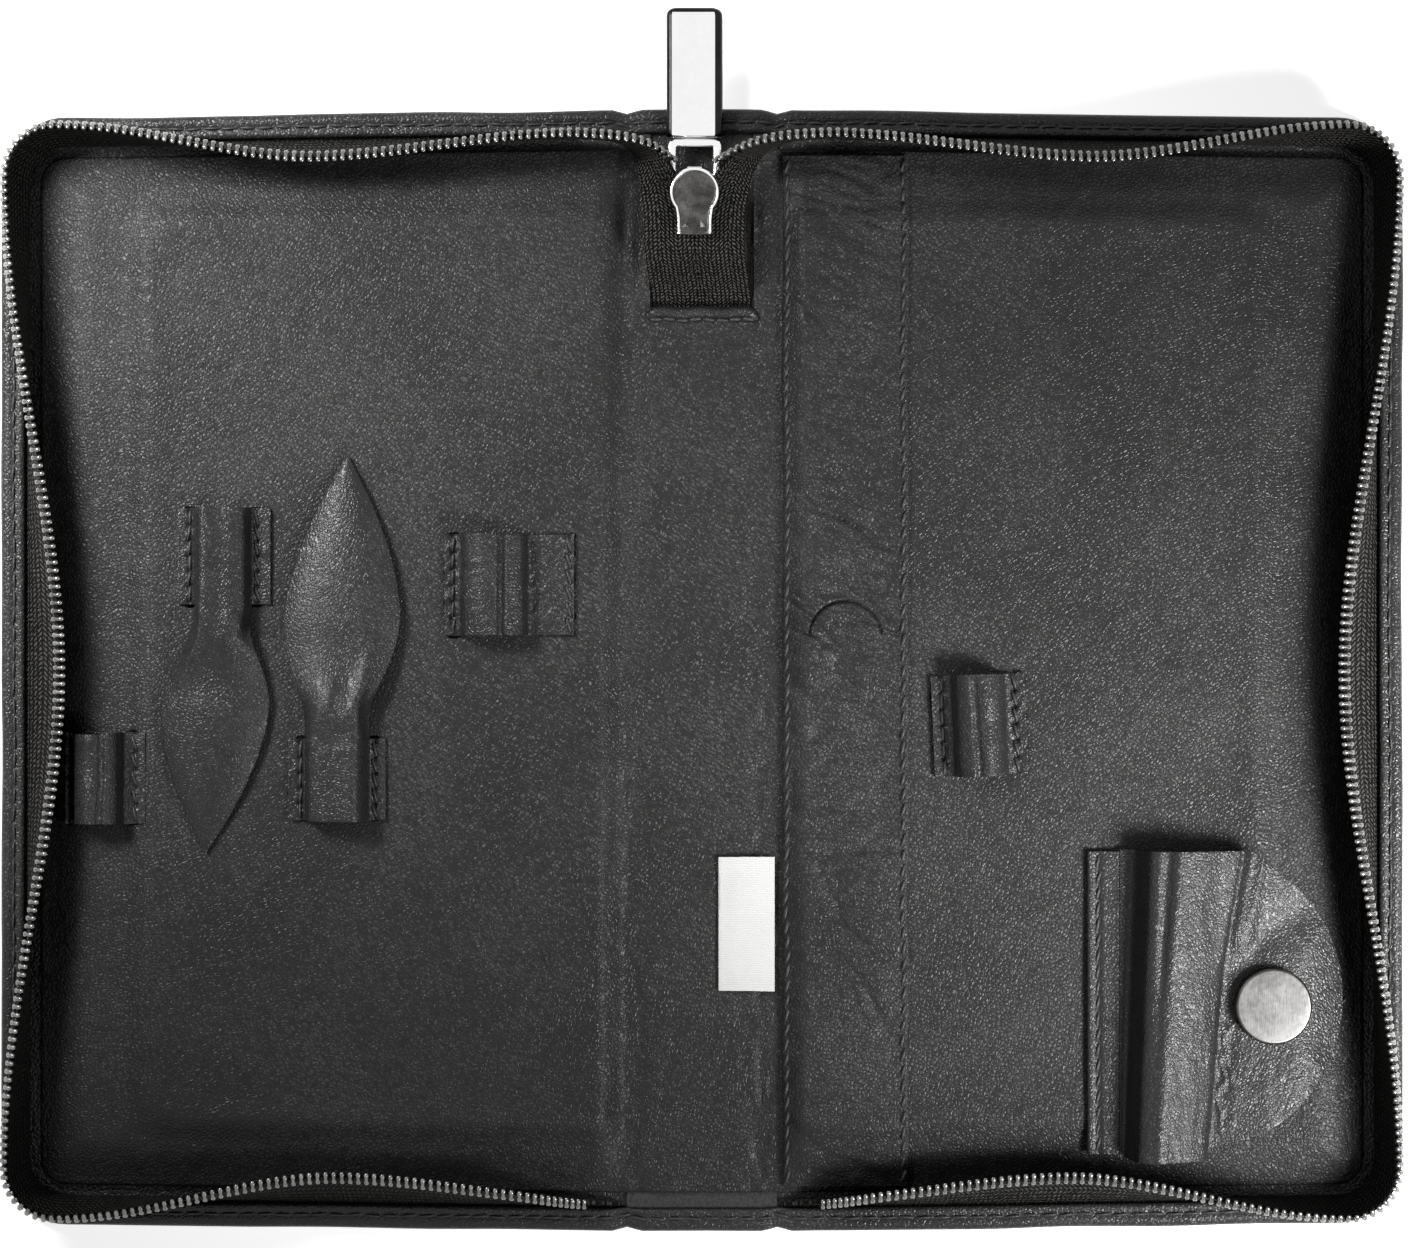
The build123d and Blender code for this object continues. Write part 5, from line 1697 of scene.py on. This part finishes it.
@dataclass
class ToolLoop:
    """A strap stitched down on two tabs, with a tunnel along Y for one tool."""

    name: str
    node: str
    body: str
    x: float
    y: float
    z: float
    tab_left: float
    tunnel: float
    tab_right: float
    height: float
    length: float
    turn: float = 0.0
    leather: float = 0.8
    dents: tuple[Point, ...] = ()
    rough_tabs: float = 0.14
    stitch: float = 2.45
    seed: int = 1

    def section(self) -> Array:
        """Top of the strap across the tunnel, as (x, z)."""
        w, h, t = self.tunnel, self.height, self.leather
        middle = w / 2
        rise = [(-1.7, t + 0.02), (-1.0, t + 0.5), (-0.82, h * 0.5), (-0.45, h * 0.88), (middle * 0.45, h + t * 0.92)]
        fall = [(w - x, z) for x, z in rise[::-1]]
        left = [(-self.tab_left, t), (-self.tab_left * 0.55, t)]
        right = [(w + self.tab_right * 0.55, t), (w + self.tab_right, t)]
        return through([*left, *rise, (middle, h + t + 0.05), *fall, *right], 84)

    def surface_grid(self) -> Array:
        """Grid of the strap's top, rows along Y, before it is set in place."""
        line = self.section()
        ys = np.linspace(-self.length / 2, self.length / 2, max(round(self.length / 0.25), 8))
        grid = extruded(line, ys)
        raised = smooth((grid[..., 2] - self.leather - 0.3) / 1.5)
        p = grid[..., :2] + self.seed * 37.0
        for place, depth, width in self.dents:
            sway = 0.25 * ripple(grid[..., 1], 6.0, self.seed)
            grid[..., 2] -= depth * bell(grid[..., 0] - place - sway, width) * raised
        grid[..., 2] += raised * (creases(p, 12.0, 4.0, 1.1, self.seed) - 0.4) * 0.1
        grid[..., 2] += (1 - raised) * (creases(p, 70.0, 1.8, 0.7, self.seed + 3) - 0.4) * self.rough_tabs
        grid[..., 2] += noise(p / 4.0, self.seed + 6) * 0.16 * raised
        grid[..., 1] += ripple(grid[..., 0], 2.4, self.seed + 9) * 0.14 * np.sign(grid[..., 1])
        return grid

    def seams(self) -> list[Array]:
        """Lines of stitches down each tab, in the strap's own place."""
        lines = []
        for tab, inner, outer in (
            (self.tab_left, -1.75, -self.tab_left + 0.75),
            (self.tab_right, self.tunnel + 1.75, self.tunnel + self.tab_right - 0.85),
        ):
            at = inner if tab < 3 else (inner + outer) / 2 if tab < 5 else outer
            lines.append(self.seam_line(at, -self.length / 2 + 0.2, self.length / 2 - 0.2))
        return lines

    def seam_line(self, at: float, first: float, last: float) -> Array:
        """Line of stitches at one x, from one y to another."""
        ys = np.linspace(first, last, 30)
        return np.column_stack([np.full(30, at), ys, np.full(30, self.leather)])

    def place(self, p: Array) -> Array:
        """Sets points of the strap on the lining."""
        a = math.radians(self.turn)
        middle = self.tunnel / 2
        x = middle + (p[..., 0] - middle) * math.cos(a) - p[..., 1] * math.sin(a)
        y = (p[..., 0] - middle) * math.sin(a) + p[..., 1] * math.cos(a)
        return np.stack([x + self.x, y + self.y, p[..., 2] + self.z], -1)

    def holes(self) -> Array:
        """Places where the needle went through."""
        spots = []
        for line in self.seams():
            along = walked(line)
            count = max(round(along[-1] / self.stitch), 1)
            at = np.arange(count + 1) * along[-1] / count
            spots.append(sampled(line, along, at))
        return np.vstack(spots)

    def sew(self, rows: RowMaker, thread: Material) -> Piece:
        """Makes the stitches on both tabs."""
        first, second = [self.place(line) for line in self.seams()]
        made = []
        for word, line in (("left", first), ("right", second)):
            slant = 0.3 if word == "right" else -0.12
            name = f"{self.name}_{word}_stitches"
            seam = rows.seam(name, line - 0.05 * UP, thread, self.stitch, 0.74 * self.stitch, 0.27, slant)
            made.append(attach(seam, self.body))
        return made[0]

    def build(self, rows: RowMaker, finish: Material, thread: Material) -> Piece:
        """Makes the strap and its stitches."""
        grid = pressed(self.surface_grid(), self.holes(), 0.6, 0.36)
        strap = Surface().grid(self.place(grid)).piece(f"{self.name}_strap")
        painted(strap, finish, self.leather * 0.92, 0.15)
        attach(strap, self.body)
        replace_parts(strap, self.node)
        self.sew(rows, thread)
        return strap


@dataclass
class ScissorHolder(ToolLoop):
    """A tool loop whose top runs on into a pointed leaf that covers the scissors."""

    leaf_node: str = ""
    leaf_body: str = ""
    way: float = -1.0
    leaf_length: float = 37.0
    leaf_width: float = 16.0
    drift: float = -2.6
    belly: float = 0.42
    fullness: float = 1.7
    lift: float = 0.3
    sag: float = 1.2
    ridge: float = -1.0
    bow: float = 2.0

    @property
    def mouth(self) -> float:
        """Where the loop opens towards the leaf, along Y."""
        return self.y + self.way * self.length / 2

    def leaf_half(self, share: Array) -> Array:
        """Half width of the leaf at a share of its length."""
        neck = self.tunnel + 1.6
        wide = (neck + (self.leaf_width - neck) * smooth(share / self.belly)) / 2
        past = np.clip((share - self.belly) / (1 - self.belly), 0, 1)
        return np.where(share < self.belly, wide, np.maximum(self.leaf_width / 2 * (1 - past**self.fullness), 0.2))

    def arch(self) -> Array:
        """The strap's top between the feet of the tunnel, as (x, z)."""
        line = self.section()
        inner = line[(line[:, 0] > -1.3) & (line[:, 0] < self.tunnel + 1.3)]
        return evenly(inner, 44)

    def leaf_grid(self) -> Array:
        """Grid from the loop's back over its mouth to the leaf's tip."""
        arch = self.arch()
        u = np.linspace(-1, 1, len(arch))
        loop_rows = np.linspace(-self.length, 0, round(self.length / 0.45))[:-1]
        tip = 0.93 + 0.07 * np.sin(np.linspace(0, math.pi / 2, 12))
        shares = np.concatenate([np.linspace(0, 0.93, 80)[1:], tip[1:]])
        rows = [np.column_stack([arch[:, 0], np.full(len(arch), y), arch[:, 1]]) for y in loop_rows]
        middle = self.tunnel / 2
        for share in shares:
            half = float(self.leaf_half(np.array([share]))[0])
            open_out, flat = float(smooth(share / 0.2)), float(smooth(share / self.belly))
            bow = 1.9 + (self.bow * 2 * half / self.leaf_width - 1.9) * flat
            ridge = 1.1 * (1 - flat) * math.exp(-share * 3)
            low = self.lift + self.leather + self.sag * flat * (1 - share)
            low = low + (self.height - 1.6) * (1 - smooth(share / (self.belly * 0.9)))
            leaf_x = middle + self.drift * share + half * u
            leaf_z = low + bow * (1 - np.abs(u) ** 2.2) + ridge * bell(u, 0.35)
            x = arch[:, 0] + (leaf_x - arch[:, 0]) * open_out
            z = arch[:, 1] + (leaf_z - arch[:, 1]) * open_out
            rows.append(np.column_stack([x, np.full(len(u), share * self.leaf_length), z]))
        grid = np.stack(rows)
        p = grid[..., :2] + self.seed * 53.0
        past = smooth(grid[..., 1] / 4.0)
        neck = smooth((grid[..., 1] + 6) / 4) * smooth((13 - grid[..., 1]) / 8)
        grid[..., 2] += (creases(p, 0.0, 4.0, 1.1, self.seed) - 0.4) * 0.05 * (1 - past)
        grid[..., 2] += noise(p / 7.0, self.seed + 2) * 0.12 * past + noise(p / 15.0, self.seed + 8) * 0.25 * past
        grid[..., 2] += neck * (creases(p, 60.0, 6.0, 2.2, self.seed + 4) - 0.4) * 0.22
        grid[..., 2] -= smooth((grid[..., 1] - self.leaf_length * 0.8) / 8) * 0.1
        crest = self.ridge * (0.42 + 0.2 * smooth((grid[..., 1] + 3) / (0.3 * self.leaf_length)))
        rise = 0.75 * bell(u - crest, 0.2) - 0.45 * bell(u - crest + self.ridge * 0.55, 0.32)
        grid[..., 2] += rise * smooth((0.42 * self.leaf_length - grid[..., 1]) / (0.25 * self.leaf_length))
        return grid

    def tabs_grid(self) -> list[Array]:
        """Grids of the two tabs beside the loop, joined to the foot of its arch."""
        line, arch = self.section(), self.arch()
        ys = np.linspace(-self.length, 0, round(self.length / 0.4))
        made = []
        for part in (line[line[:, 0] < arch[0, 0]], line[line[:, 0] > arch[-1, 0]]):
            left = part[0, 0] < 0
            part = np.vstack([part, arch[:1]]) if left else np.vstack([arch[-1:], part])
            cut = evenly(part, 14)
            grid = extruded(cut, ys)
            far = np.abs(cut[:, 0] - (arch[0, 0] if left else arch[-1, 0])) / 3.2
            round_end = 1.1 * (1 - np.sqrt(np.clip(1 - (far - 0.25).clip(0) ** 2, 0, 1)))
            grid[..., 1] *= 1 - round_end[None] / self.length
            p = grid[..., :2] + self.seed * 11.0
            away = smooth((np.abs(grid[..., 0] - self.tunnel / 2) - self.tunnel / 2 - 1.4) / 1.0)
            grid[..., 2] += away * (creases(p, 70.0, 1.8, 0.7, self.seed + 3) - 0.4) * self.rough_tabs
            made.append(grid)
        return made

    def place(self, p: Array) -> Array:
        """Sets points on the lining; the loop's own Y runs towards the leaf's tip."""
        return np.stack([p[..., 0] + self.x, self.mouth + self.way * p[..., 1], p[..., 2] + self.z], -1)

    def seams(self) -> list[Array]:
        """Lines of stitches down each tab."""
        return [self.seam_line(at, -self.length + 0.3, -0.5) for at in (-1.9, self.tunnel + 1.95)]

    def build(self, rows: RowMaker, finish: Material, thread: Material) -> Piece:
        """Makes the holder with its leaf, and its stitches."""
        surface = Surface()
        for grid in [self.leaf_grid(), *self.tabs_grid()]:
            surface.grid(self.place(pressed(grid, self.holes(), 0.6, 0.36)))
        if self.way < 0:
            surface.turned()
        holder = surface.piece(f"{self.name}_holder")
        painted(holder, finish, self.leather, 0.16)
        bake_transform(holder)
        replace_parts(holder, self.node, self.leaf_node)
        self.sew(rows, thread)
        return holder


@dataclass
class FilePocket:
    """The long flat sleeve beside the right fold, with a half-round slit for a thumb."""

    plan: CasePlan
    gap: float = 0.7
    width: float = 18.9
    end_gap: float = 2.0
    leather: float = 0.9
    slit_radius: float = 5.4
    slit_y: float = 5.1
    edge_round: float = 0.3

    @property
    def start(self) -> float:
        """Edge of the pocket beside the fold."""
        return self.plan.fold_x + self.gap

    def sway(self, y: Array) -> Array:
        """How far the sewn edges wander across at y."""
        return ripple(y, 7.0, 341) * 0.18

    def top_z(self, x: Array, y: Array) -> Array:
        """Top of the pocket's leather."""
        p = np.stack([x, y], -1)
        across = np.clip((x - self.start) / self.width, 0, 1)
        belly = np.clip(4 * across * (1 - across), 0, 1) ** 0.6
        lines = creases(p, -38.0, 26.0, 6.5, 301, 6.0) * 1.15 + creases(p, -16.0, 12.0, 2.6, 311, 4.0) * 0.7
        lines += creases(p, -6.0, 8.0, 1.7, 321, 3.0) * 0.25
        strong = 0.35 + 0.65 * smooth((noise(p / 22.0, 331) + 0.4) / 1.1)
        z = self.plan.lining_z(x, y) + self.leather - 0.1 + belly * (0.35 + noise(p / 9.0, 335) * 0.2 - lines * strong)
        middle = self.start + self.width * 0.5
        r = np.hypot(x - middle, y - self.slit_y)
        above = smooth((y - self.slit_y) / 0.8)
        mound = 0.22 * smooth((self.slit_radius - r) / 0.5) * smooth(r / 4)
        cut = 0.5 * bell(r - self.slit_radius, 0.17) - mound
        return z - cut * above

    def build(self, rows: RowMaker, finish: Material, thread: Material) -> Piece:
        """Makes the sleeve and its two seams."""
        half = self.plan.height / 2 - self.plan.lining_inset - self.end_gap + 0.8
        xs = self.start + self.width * np.linspace(0, 1, 84)
        near = np.arange(self.slit_y - 1.0, self.slit_y + 6.4, 0.16)
        ys = np.concatenate([np.linspace(-half, near[0], 190)[:-1], near, np.linspace(near[-1], half, 190)[1:]])
        x, y = np.meshgrid(xs, ys)
        edge = np.minimum(x - xs[0], xs[-1] - x)
        x = x + self.sway(y)
        z = self.top_z(x, y) - rounding(edge, self.edge_round)
        sleeve = thicken(Surface().grid(np.dstack([x, y, z])).piece("file_sleeve"), self.leather - 0.1)
        dress(sleeve, finish)
        ride_or_fold(sleeve)
        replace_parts(sleeve, "file_pocket")
        for word, at, pitch in (("inner", xs[0] + 0.75, 2.2), ("outer", xs[-1] - 0.8, 2.3)):
            ly = np.linspace(-half + 0.5, half - 0.5, 300)
            lx = at + self.sway(ly)
            line = np.column_stack([lx, ly, self.top_z(lx, ly) + 0.02])
            seam = rows.seam(f"pocket_{word}_stitches", line, thread, pitch, 0.8 * pitch, 0.25, slant=-0.3)
            ride_or_fold(seam)
        return sleeve


@dataclass
class ClipperFlap:
    """The half-round flap that wraps the clippers and snaps shut beside them, and its stitched strip."""

    plan: CasePlan
    hinge_x: float = 62.3
    y: float = -49.6
    height: float = 46.0
    reach: float = 33.4
    leather: float = 0.9
    tunnel_height: float = 7.0
    rest: float = 2.9
    snap: float = 22.4
    tunnel_end: float = 14.8
    disc_radius: float = 22.5
    disc_rise: float = 1.0
    crest_fold: Profile = ((17.6, 9.0), (19.6, 24.0))
    hollow_fold: Profile = ((19.0, 9.0), (30.0, 15.4))
    hem_width: float = 4.75
    hem_height: float = 1.2
    hem_leather: float = 1.05
    hem_round: float = 0.35
    hem_seam_x: float = -3.1

    @property
    def origin(self) -> Array:
        """Middle of the hinge on the lining."""
        return np.array([self.hinge_x, self.y, self.plan.pad_z])

    def section(self) -> Array:
        """Top of the flap from its hinge outwards, as (x, z)."""
        h, rest = self.tunnel_height, self.rest
        under = [
            (0.1, 0.3), (1.2, 0.35), (1.9, 1.4), (2.4, h * 0.52), (3.0, h * 0.78), (3.9, h * 0.9), (5.2, h * 0.96),
            (6.6, h), (8.8, h * 0.9), (11.4, h * 0.76), (13.9, h * 0.6), (14.4, rest + 0.5), (15.0, rest),
            (17.2, rest), (22.4, rest - 0.05), (27.5, rest - 0.45), (33.4, 0.35),
        ]
        line = through([(x, z + self.leather) for x, z in under], 150)
        start, run = self.reach - 11.0, 11.0
        xs = start + run * np.sin(np.linspace(0, math.pi / 2, 56))
        end = np.column_stack([xs, np.interp(xs, line[:, 0], line[:, 1])])
        return np.vstack([line[line[:, 0] < start - 0.1], end])

    def outline(self, x: Array) -> tuple[Array, Array]:
        """Lower and upper edge of the flap at x: square over the tunnel, then the round end."""
        half = self.height / 2
        disc = np.sqrt(np.maximum(self.disc_radius**2 - (x - self.reach + self.disc_radius) ** 2, 1e-4))
        past = smooth((x - self.tunnel_end + 0.3) / 0.5)
        upper = np.minimum(half, self.disc_rise + disc)
        lower = self.disc_rise - disc
        return -half + (lower + half) * past, half + (upper - half) * past

    def slanted(self, x: Array, y: Array) -> Array:
        """The tunnel leans, and it opens out towards its upper end."""
        left = 0.037 * y
        right = 0.085 * y + 0.09 * np.maximum(y - 5, 0)
        share = np.clip((x - 2.4) / (self.tunnel_end - 2.4), 0, 1)
        fade = smooth(x / 2.4) * (1 - smooth((x - self.tunnel_end) / 9.0))
        return x + (left + (right - left) * share) * fade

    def folds(self, x: Array, y: Array) -> Array:
        """Height of the folds that the snap pulls into the round end."""
        p = np.stack([x, y], -1)
        dx, dy = x - self.snap, y
        around, angle = np.hypot(dx, dy), np.arctan2(dy, dx)
        away = smooth((around - 6.0) / 3.5)
        spokes = noise(np.stack([angle * 3.1, around / 16.0], -1), 402) * 0.16
        spokes = spokes + noise(np.stack([angle * 7.5, around / 9.0], -1), 403) * 0.05
        ridge = self.fold_line(x, y, self.crest_fold, 1.6) * 0.35 - self.fold_line(x, y, self.hollow_fold, 3.0) * 0.5
        ridge += 1.7 * smooth((y - 4) / 9) * np.exp(-np.maximum(x - 14.4, 0) / 4.0) * smooth((x - 14.0) / 0.5)
        place = smooth((-1.0 - y) / 4) * smooth((y + 20.0) / 4)
        wrinkles = (creases(p, 104.0, 4.5, 1.2, 411) - 0.4) * 0.55 * place * smooth((18.6 - x) / 3)
        fine = (creases(p, 62.0, 4.0, 1.2, 412) - 0.4) * 0.08 * smooth((4.0 - y) / 6)
        return away * (spokes + ridge + fine) + wrinkles

    def fold_line(self, x: Array, y: Array, ends: Profile, width: float) -> Array:
        """A soft fold from one point to another, 1 along its crest."""
        a, b = np.array(ends[0]), np.array(ends[1])
        length = np.linalg.norm(b - a)
        way = (b - a) / length
        along = (x - a[0]) * way[0] + (y - a[1]) * way[1]
        across = (y - a[1]) * way[0] - (x - a[0]) * way[1]
        inside = smooth((along + 2) / 4) * smooth((length - along + 2) / 4)
        return bell(across, width) * inside

    def build(self, rows: RowMaker, finish: Material, thread: Material) -> Piece:
        """Makes the flap, its strip and the seam."""
        line = self.section()
        lower, upper = self.outline(line[:, 0])
        v = np.linspace(0, 1, 130)[:, None]
        y = lower[None] * (1 - v) + upper[None] * v
        x = np.broadcast_to(line[None, :, 0], y.shape)
        z = np.broadcast_to(line[None, :, 1], y.shape)
        flat = smooth((x - 13.6) / 2.6)
        z = z + flat * self.folds(x, y)
        crest = (1 - flat) * smooth((x - 2.5) / 2)
        p = np.stack([x, y], -1)
        z = z + crest * (noise(p / np.array([3.0, 16.0]), 431) * 0.22 + (creases(p, 88.0, 9.0, 2.2, 441) - 0.4) * 0.12)
        z = z - 0.6 * bell(x - 5.3, 0.7) * smooth((y + 4) / 16) * (1 - flat)
        z = np.maximum(z, self.leather + 0.12)
        grid = np.stack([self.slanted(x, y), y, z], -1) + self.origin
        flap = painted(Surface().grid(grid).piece("clipper_flap_leather"), finish, self.leather, 0.15)
        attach(flap, "flap")
        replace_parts(flap, "clipper_flap")
        self.strip(rows, finish, thread)
        return flap

    def strip(self, rows: RowMaker, finish: Material, thread: Material) -> None:
        """Makes the strip that is sewn to the lining."""
        xs = np.linspace(-self.hem_width, 0.05, 22)
        ys = np.linspace(-self.height / 2 + 0.4, self.height / 2 - 0.3, 130)
        x, y = np.meshgrid(xs, ys)
        z = self.hem_height - 0.28 * bell(x - self.hem_seam_x, 0.45) + noise(np.dstack([x, y]) / 3.0, 451) * 0.05
        z -= rounding(x - xs[0], self.hem_round)
        grid = np.dstack([x, y, z]) + self.origin
        strip = painted(Surface().grid(grid).piece("clipper_flap_hem"), finish, self.hem_leather, 0.14)
        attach(strip, "right_cover")
        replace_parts(strip, "clipper_flap_strip")
        ly = np.linspace(ys[0] + 0.4, ys[-1] - 0.4, 60)
        line = np.column_stack([np.full(60, self.hem_seam_x), ly, np.full(60, 0.98)]) + self.origin
        seam = rows.seam("flap_stitches", line, thread, pitch=2.3, length=1.9, radius=0.25, slant=-0.28)
        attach(seam, "right_cover")


@dataclass
class Snap:
    """The snap's cap on the flap, turned in metal; its sides and bevel take a darker satin than its top, as painted
    shade.
    """

    x: float = 84.7
    y: float = -49.6
    z: float = 4.8
    base: float = 3.8
    top: float = 2.1
    sides: int = 96

    def build(self, face: Material, edge: Material) -> Piece:
        """Makes the cap."""
        angle = np.linspace(0, 2 * math.pi, self.sides, endpoint=False)
        profile = [
            (1.2, -0.9), (1.2, -0.02), (4.3, 0.0), (4.3, 0.72), (4.5, 0.8), (5.45, 0.8), (5.62, 0.86), (5.65, 1.0),
            (5.65, 1.82), (5.6, 1.93), (5.48, 2.03), (5.36, 2.09), (5.2, self.top), (2.6, self.top), (0.6, self.top),
        ]
        circle = np.stack([np.cos(angle), np.sin(angle)], 1)
        rings = np.stack([level(r * circle, self.base + h) for r, h in profile])
        surface = Surface().grid(rings, round_columns=True)
        surface.moved(lambda p: p + np.array([self.x, self.y, self.z]))
        # The second material goes on the top only; the sides and bevel keep the first, a darker satin that paints
        # shade on them.
        cap = dress(surface.piece("snap_cap_disc", crease=35, close=True, turn=True), edge, face)
        for polygon in cap.data.polygons:
            if polygon.center.z > (self.z + self.base + self.top - 0.005) * MM:
                polygon.material_index = 1
        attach(cap, "flap")
        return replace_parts(cap, "snap_cap")


class ToolPlaces:
    """Every loop and holder on the two linings."""

    def __init__(self, plan: CasePlan) -> None:
        """Sets each one in its place."""
        z = plan.pad_z
        self.loops = [
            ToolLoop(
                "pusher", "pusher_loop", "left_cover", -92.7, -16.0, z - 0.4, 2.6, 5.2, 4.2, 4.9, 13.6,
                dents=((3.5, 0.75, 0.55),), seed=2,
            ),
            ToolLoop(
                "tweezer", "tweezer_loop", "left_cover", -34.9, 12.9, z, 3.6, 7.8, 8.0, 4.6, 15.0,
                dents=((5.3, 0.9, 0.5),), rough_tabs=0.26, seed=3,
            ),
            ToolLoop(
                "cuticle", "cuticle_loop", "right_cover", 38.5, -8.0, z, 4.0, 5.8, 4.2, 4.8, 15.2,
                turn=2.5, dents=((2.2, 0.6, 0.5),), rough_tabs=0.18, seed=4,
            ),
            ScissorHolder(
                "short_scissor", "short_scissor_loop", "left_cover", -74.7, 17.2, z, 3.6, 6.2, 4.0, 4.6, 14.4, seed=5,
                leaf_node="short_scissor_tongue", leaf_body="short_tongue", leaf_length=37.2, leaf_width=16.2,
            ),
            ScissorHolder(
                "long_scissor", "long_scissor_loop", "left_cover", -58.1, -16.2, z, 3.8, 7.2, 3.6, 4.6, 12.2, seed=6,
                leaf_node="long_scissor_tongue", leaf_body="long_tongue", leaf_length=42.2, leaf_width=17.6,
                way=1.0, drift=1.6, ridge=1.0,
            ),
        ]

    def build(self, rows: RowMaker, finish: Material, thread: Material) -> None:
        """Makes them all."""
        for loop in self.loops:
            LOG.info("%s on %s", loop.build(rows, finish, thread).name, loop.body)


# ------------------------------ studio ------------------------------


@dataclass(frozen=True)
class Studio:
    """White floor, soft light and the camera straight above."""

    view_x: float = 1.5
    view_y: float = 7.05
    distance: float = 520.0
    lens: float = 87.0
    floor_size: float = 3.0
    room: float = 0.05
    lamp_size: float = 100.0
    lamp_watts: float = 0.19
    lamp_spread: float = 50.0

    def camera(self) -> None:
        """Makes the camera."""
        data = bpy.data.cameras.new("camera")
        data.lens, data.sensor_width, data.sensor_fit = self.lens, 36.0, "HORIZONTAL"
        data.clip_start, data.clip_end = 0.01, 20.0
        camera = stand("camera", data)
        camera.location = (self.view_x * MM, self.view_y * MM, self.distance * MM)
        bpy.context.scene.camera = camera

    def floor(self) -> None:
        """Makes the white floor, which keeps the case's shadow."""
        s = self.floor_size / MM / 2
        rows = np.array([[(-s, -s, 0.0), (s, -s, 0.0)], [(-s, s, 0.0), (s, s, 0.0)]])
        floor = Surface().grid(rows - 0.05 * UP).piece("studio_floor")
        pad = MaterialPad("studio_white")
        pad.looks(Base_Color=(0.8, 0.8, 0.8, 1.0), Roughness=0.9, Specular_IOR_Level=0.0)
        pad.looks(Emission_Color=(1.0, 1.0, 1.0, 1.0), Emission_Strength=pad.times(pad.seen(), 0.8))
        dress(floor, pad.material)

    def world(self) -> None:
        """Lights the room evenly, white where it is seen."""
        world = bpy.data.worlds.new("studio_room")
        world.use_nodes = True
        pad = NodePad(world.node_tree)
        back = world.node_tree.nodes["Background"]
        back.inputs["Color"].default_value = (1.0, 1.0, 1.0, 1.0)
        pad.feed(back.inputs["Strength"], pad.plus(pad.times(pad.seen(), 1.0 - self.room), self.room))
        bpy.context.scene.world = world

    def lamp(self, name: str, place: Point, aim: Point, share: float) -> None:
        """Makes a soft square lamp that points at one cover."""
        data = bpy.data.lights.new(name, "AREA")
        data.size, data.energy = self.lamp_size * MM, self.lamp_watts * share
        data.spread = math.radians(self.lamp_spread)
        lamp, way = stand(name, data), Vector(np.array(aim) - np.array(place))
        lamp.location, lamp.rotation_euler = np.array(place) * MM, way.to_track_quat("-Z", "Y").to_euler()

    def build(self) -> None:
        """Sets up the whole studio."""
        self.camera()
        self.floor()
        self.world()
        self.lamp("left_lamp", (-205.0, 145.0, 225.0), (-92.0, 50.0, 0.0), 1.0)
        self.lamp("right_lamp", (225.0, -135.0, 230.0), (86.0, -14.0, 0.0), 1.42)
        bpy.context.scene.view_settings.view_transform = "Standard"


def dress_fillings(nodes: dict[str, Piece], kit: Wardrobe) -> None:
    """Gives the boards, foam, felt and the snap's lower half their finishes."""
    for key, finish, slot in (
        ("left_cover_board", kit.board, "board"),
        ("right_cover_board", kit.board, "board"),
        ("left_cover_padding", kit.foam, "foam"),
        ("right_cover_padding", kit.foam, "foam"),
        ("spine_felt", kit.felt, "foam"),
        ("snap_socket", kit.satin, "snap_metal"),
        ("snap_stud", kit.satin, "snap_metal"),
    ):
        dress(nodes[key], finish)
        LOG.info("%s keeps its packed mesh", key)


def main() -> None:
    """Builds the scene in order."""
    logging.basicConfig(level=logging.INFO, format="%(name)s: %(message)s")
    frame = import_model()
    Studio().build()
    kit, rows, plan = Wardrobe(), RowMaker(), CasePlan()
    dress_fillings(frame["nodes"], kit)
    for side in Side:
        leather = OuterLeather(plan, side)
        LOG.info("%s", leather.build(kit.shell).name)
        leather.sew(rows, kit.sewing)
        LOG.info("%s", Lining(plan, side).build(kit.lining).name)
        zip_row = ZipRow(plan, side)
        zip_row.standing(kit.wall)
        zip_row.loose(kit.tape)
        zip_row.tail(kit.tape)
        LOG.info("%s", zip_row.teeth(rows, kit.coil).name)
    TailTeeth(ZipRow(plan, Side.RIGHT)).build(rows, kit.coil)
    Slider().build(kit.chrome, kit.satin)
    Pull().build(kit.chrome, kit.dark_chrome)
    fittings = SpineFittings(plan)
    fittings.welt(rows, kit.fitting, kit.sewing)
    fittings.label(kit.label)
    ToolPlaces(plan).build(rows, kit.fitting, kit.sewing)
    FilePocket(plan).build(rows, kit.lining, kit.sewing)
    ClipperFlap(plan).build(rows, kit.fitting, kit.sewing)
    Snap().build(kit.brushed, kit.satin)


if __name__ == "__main__":
    main()
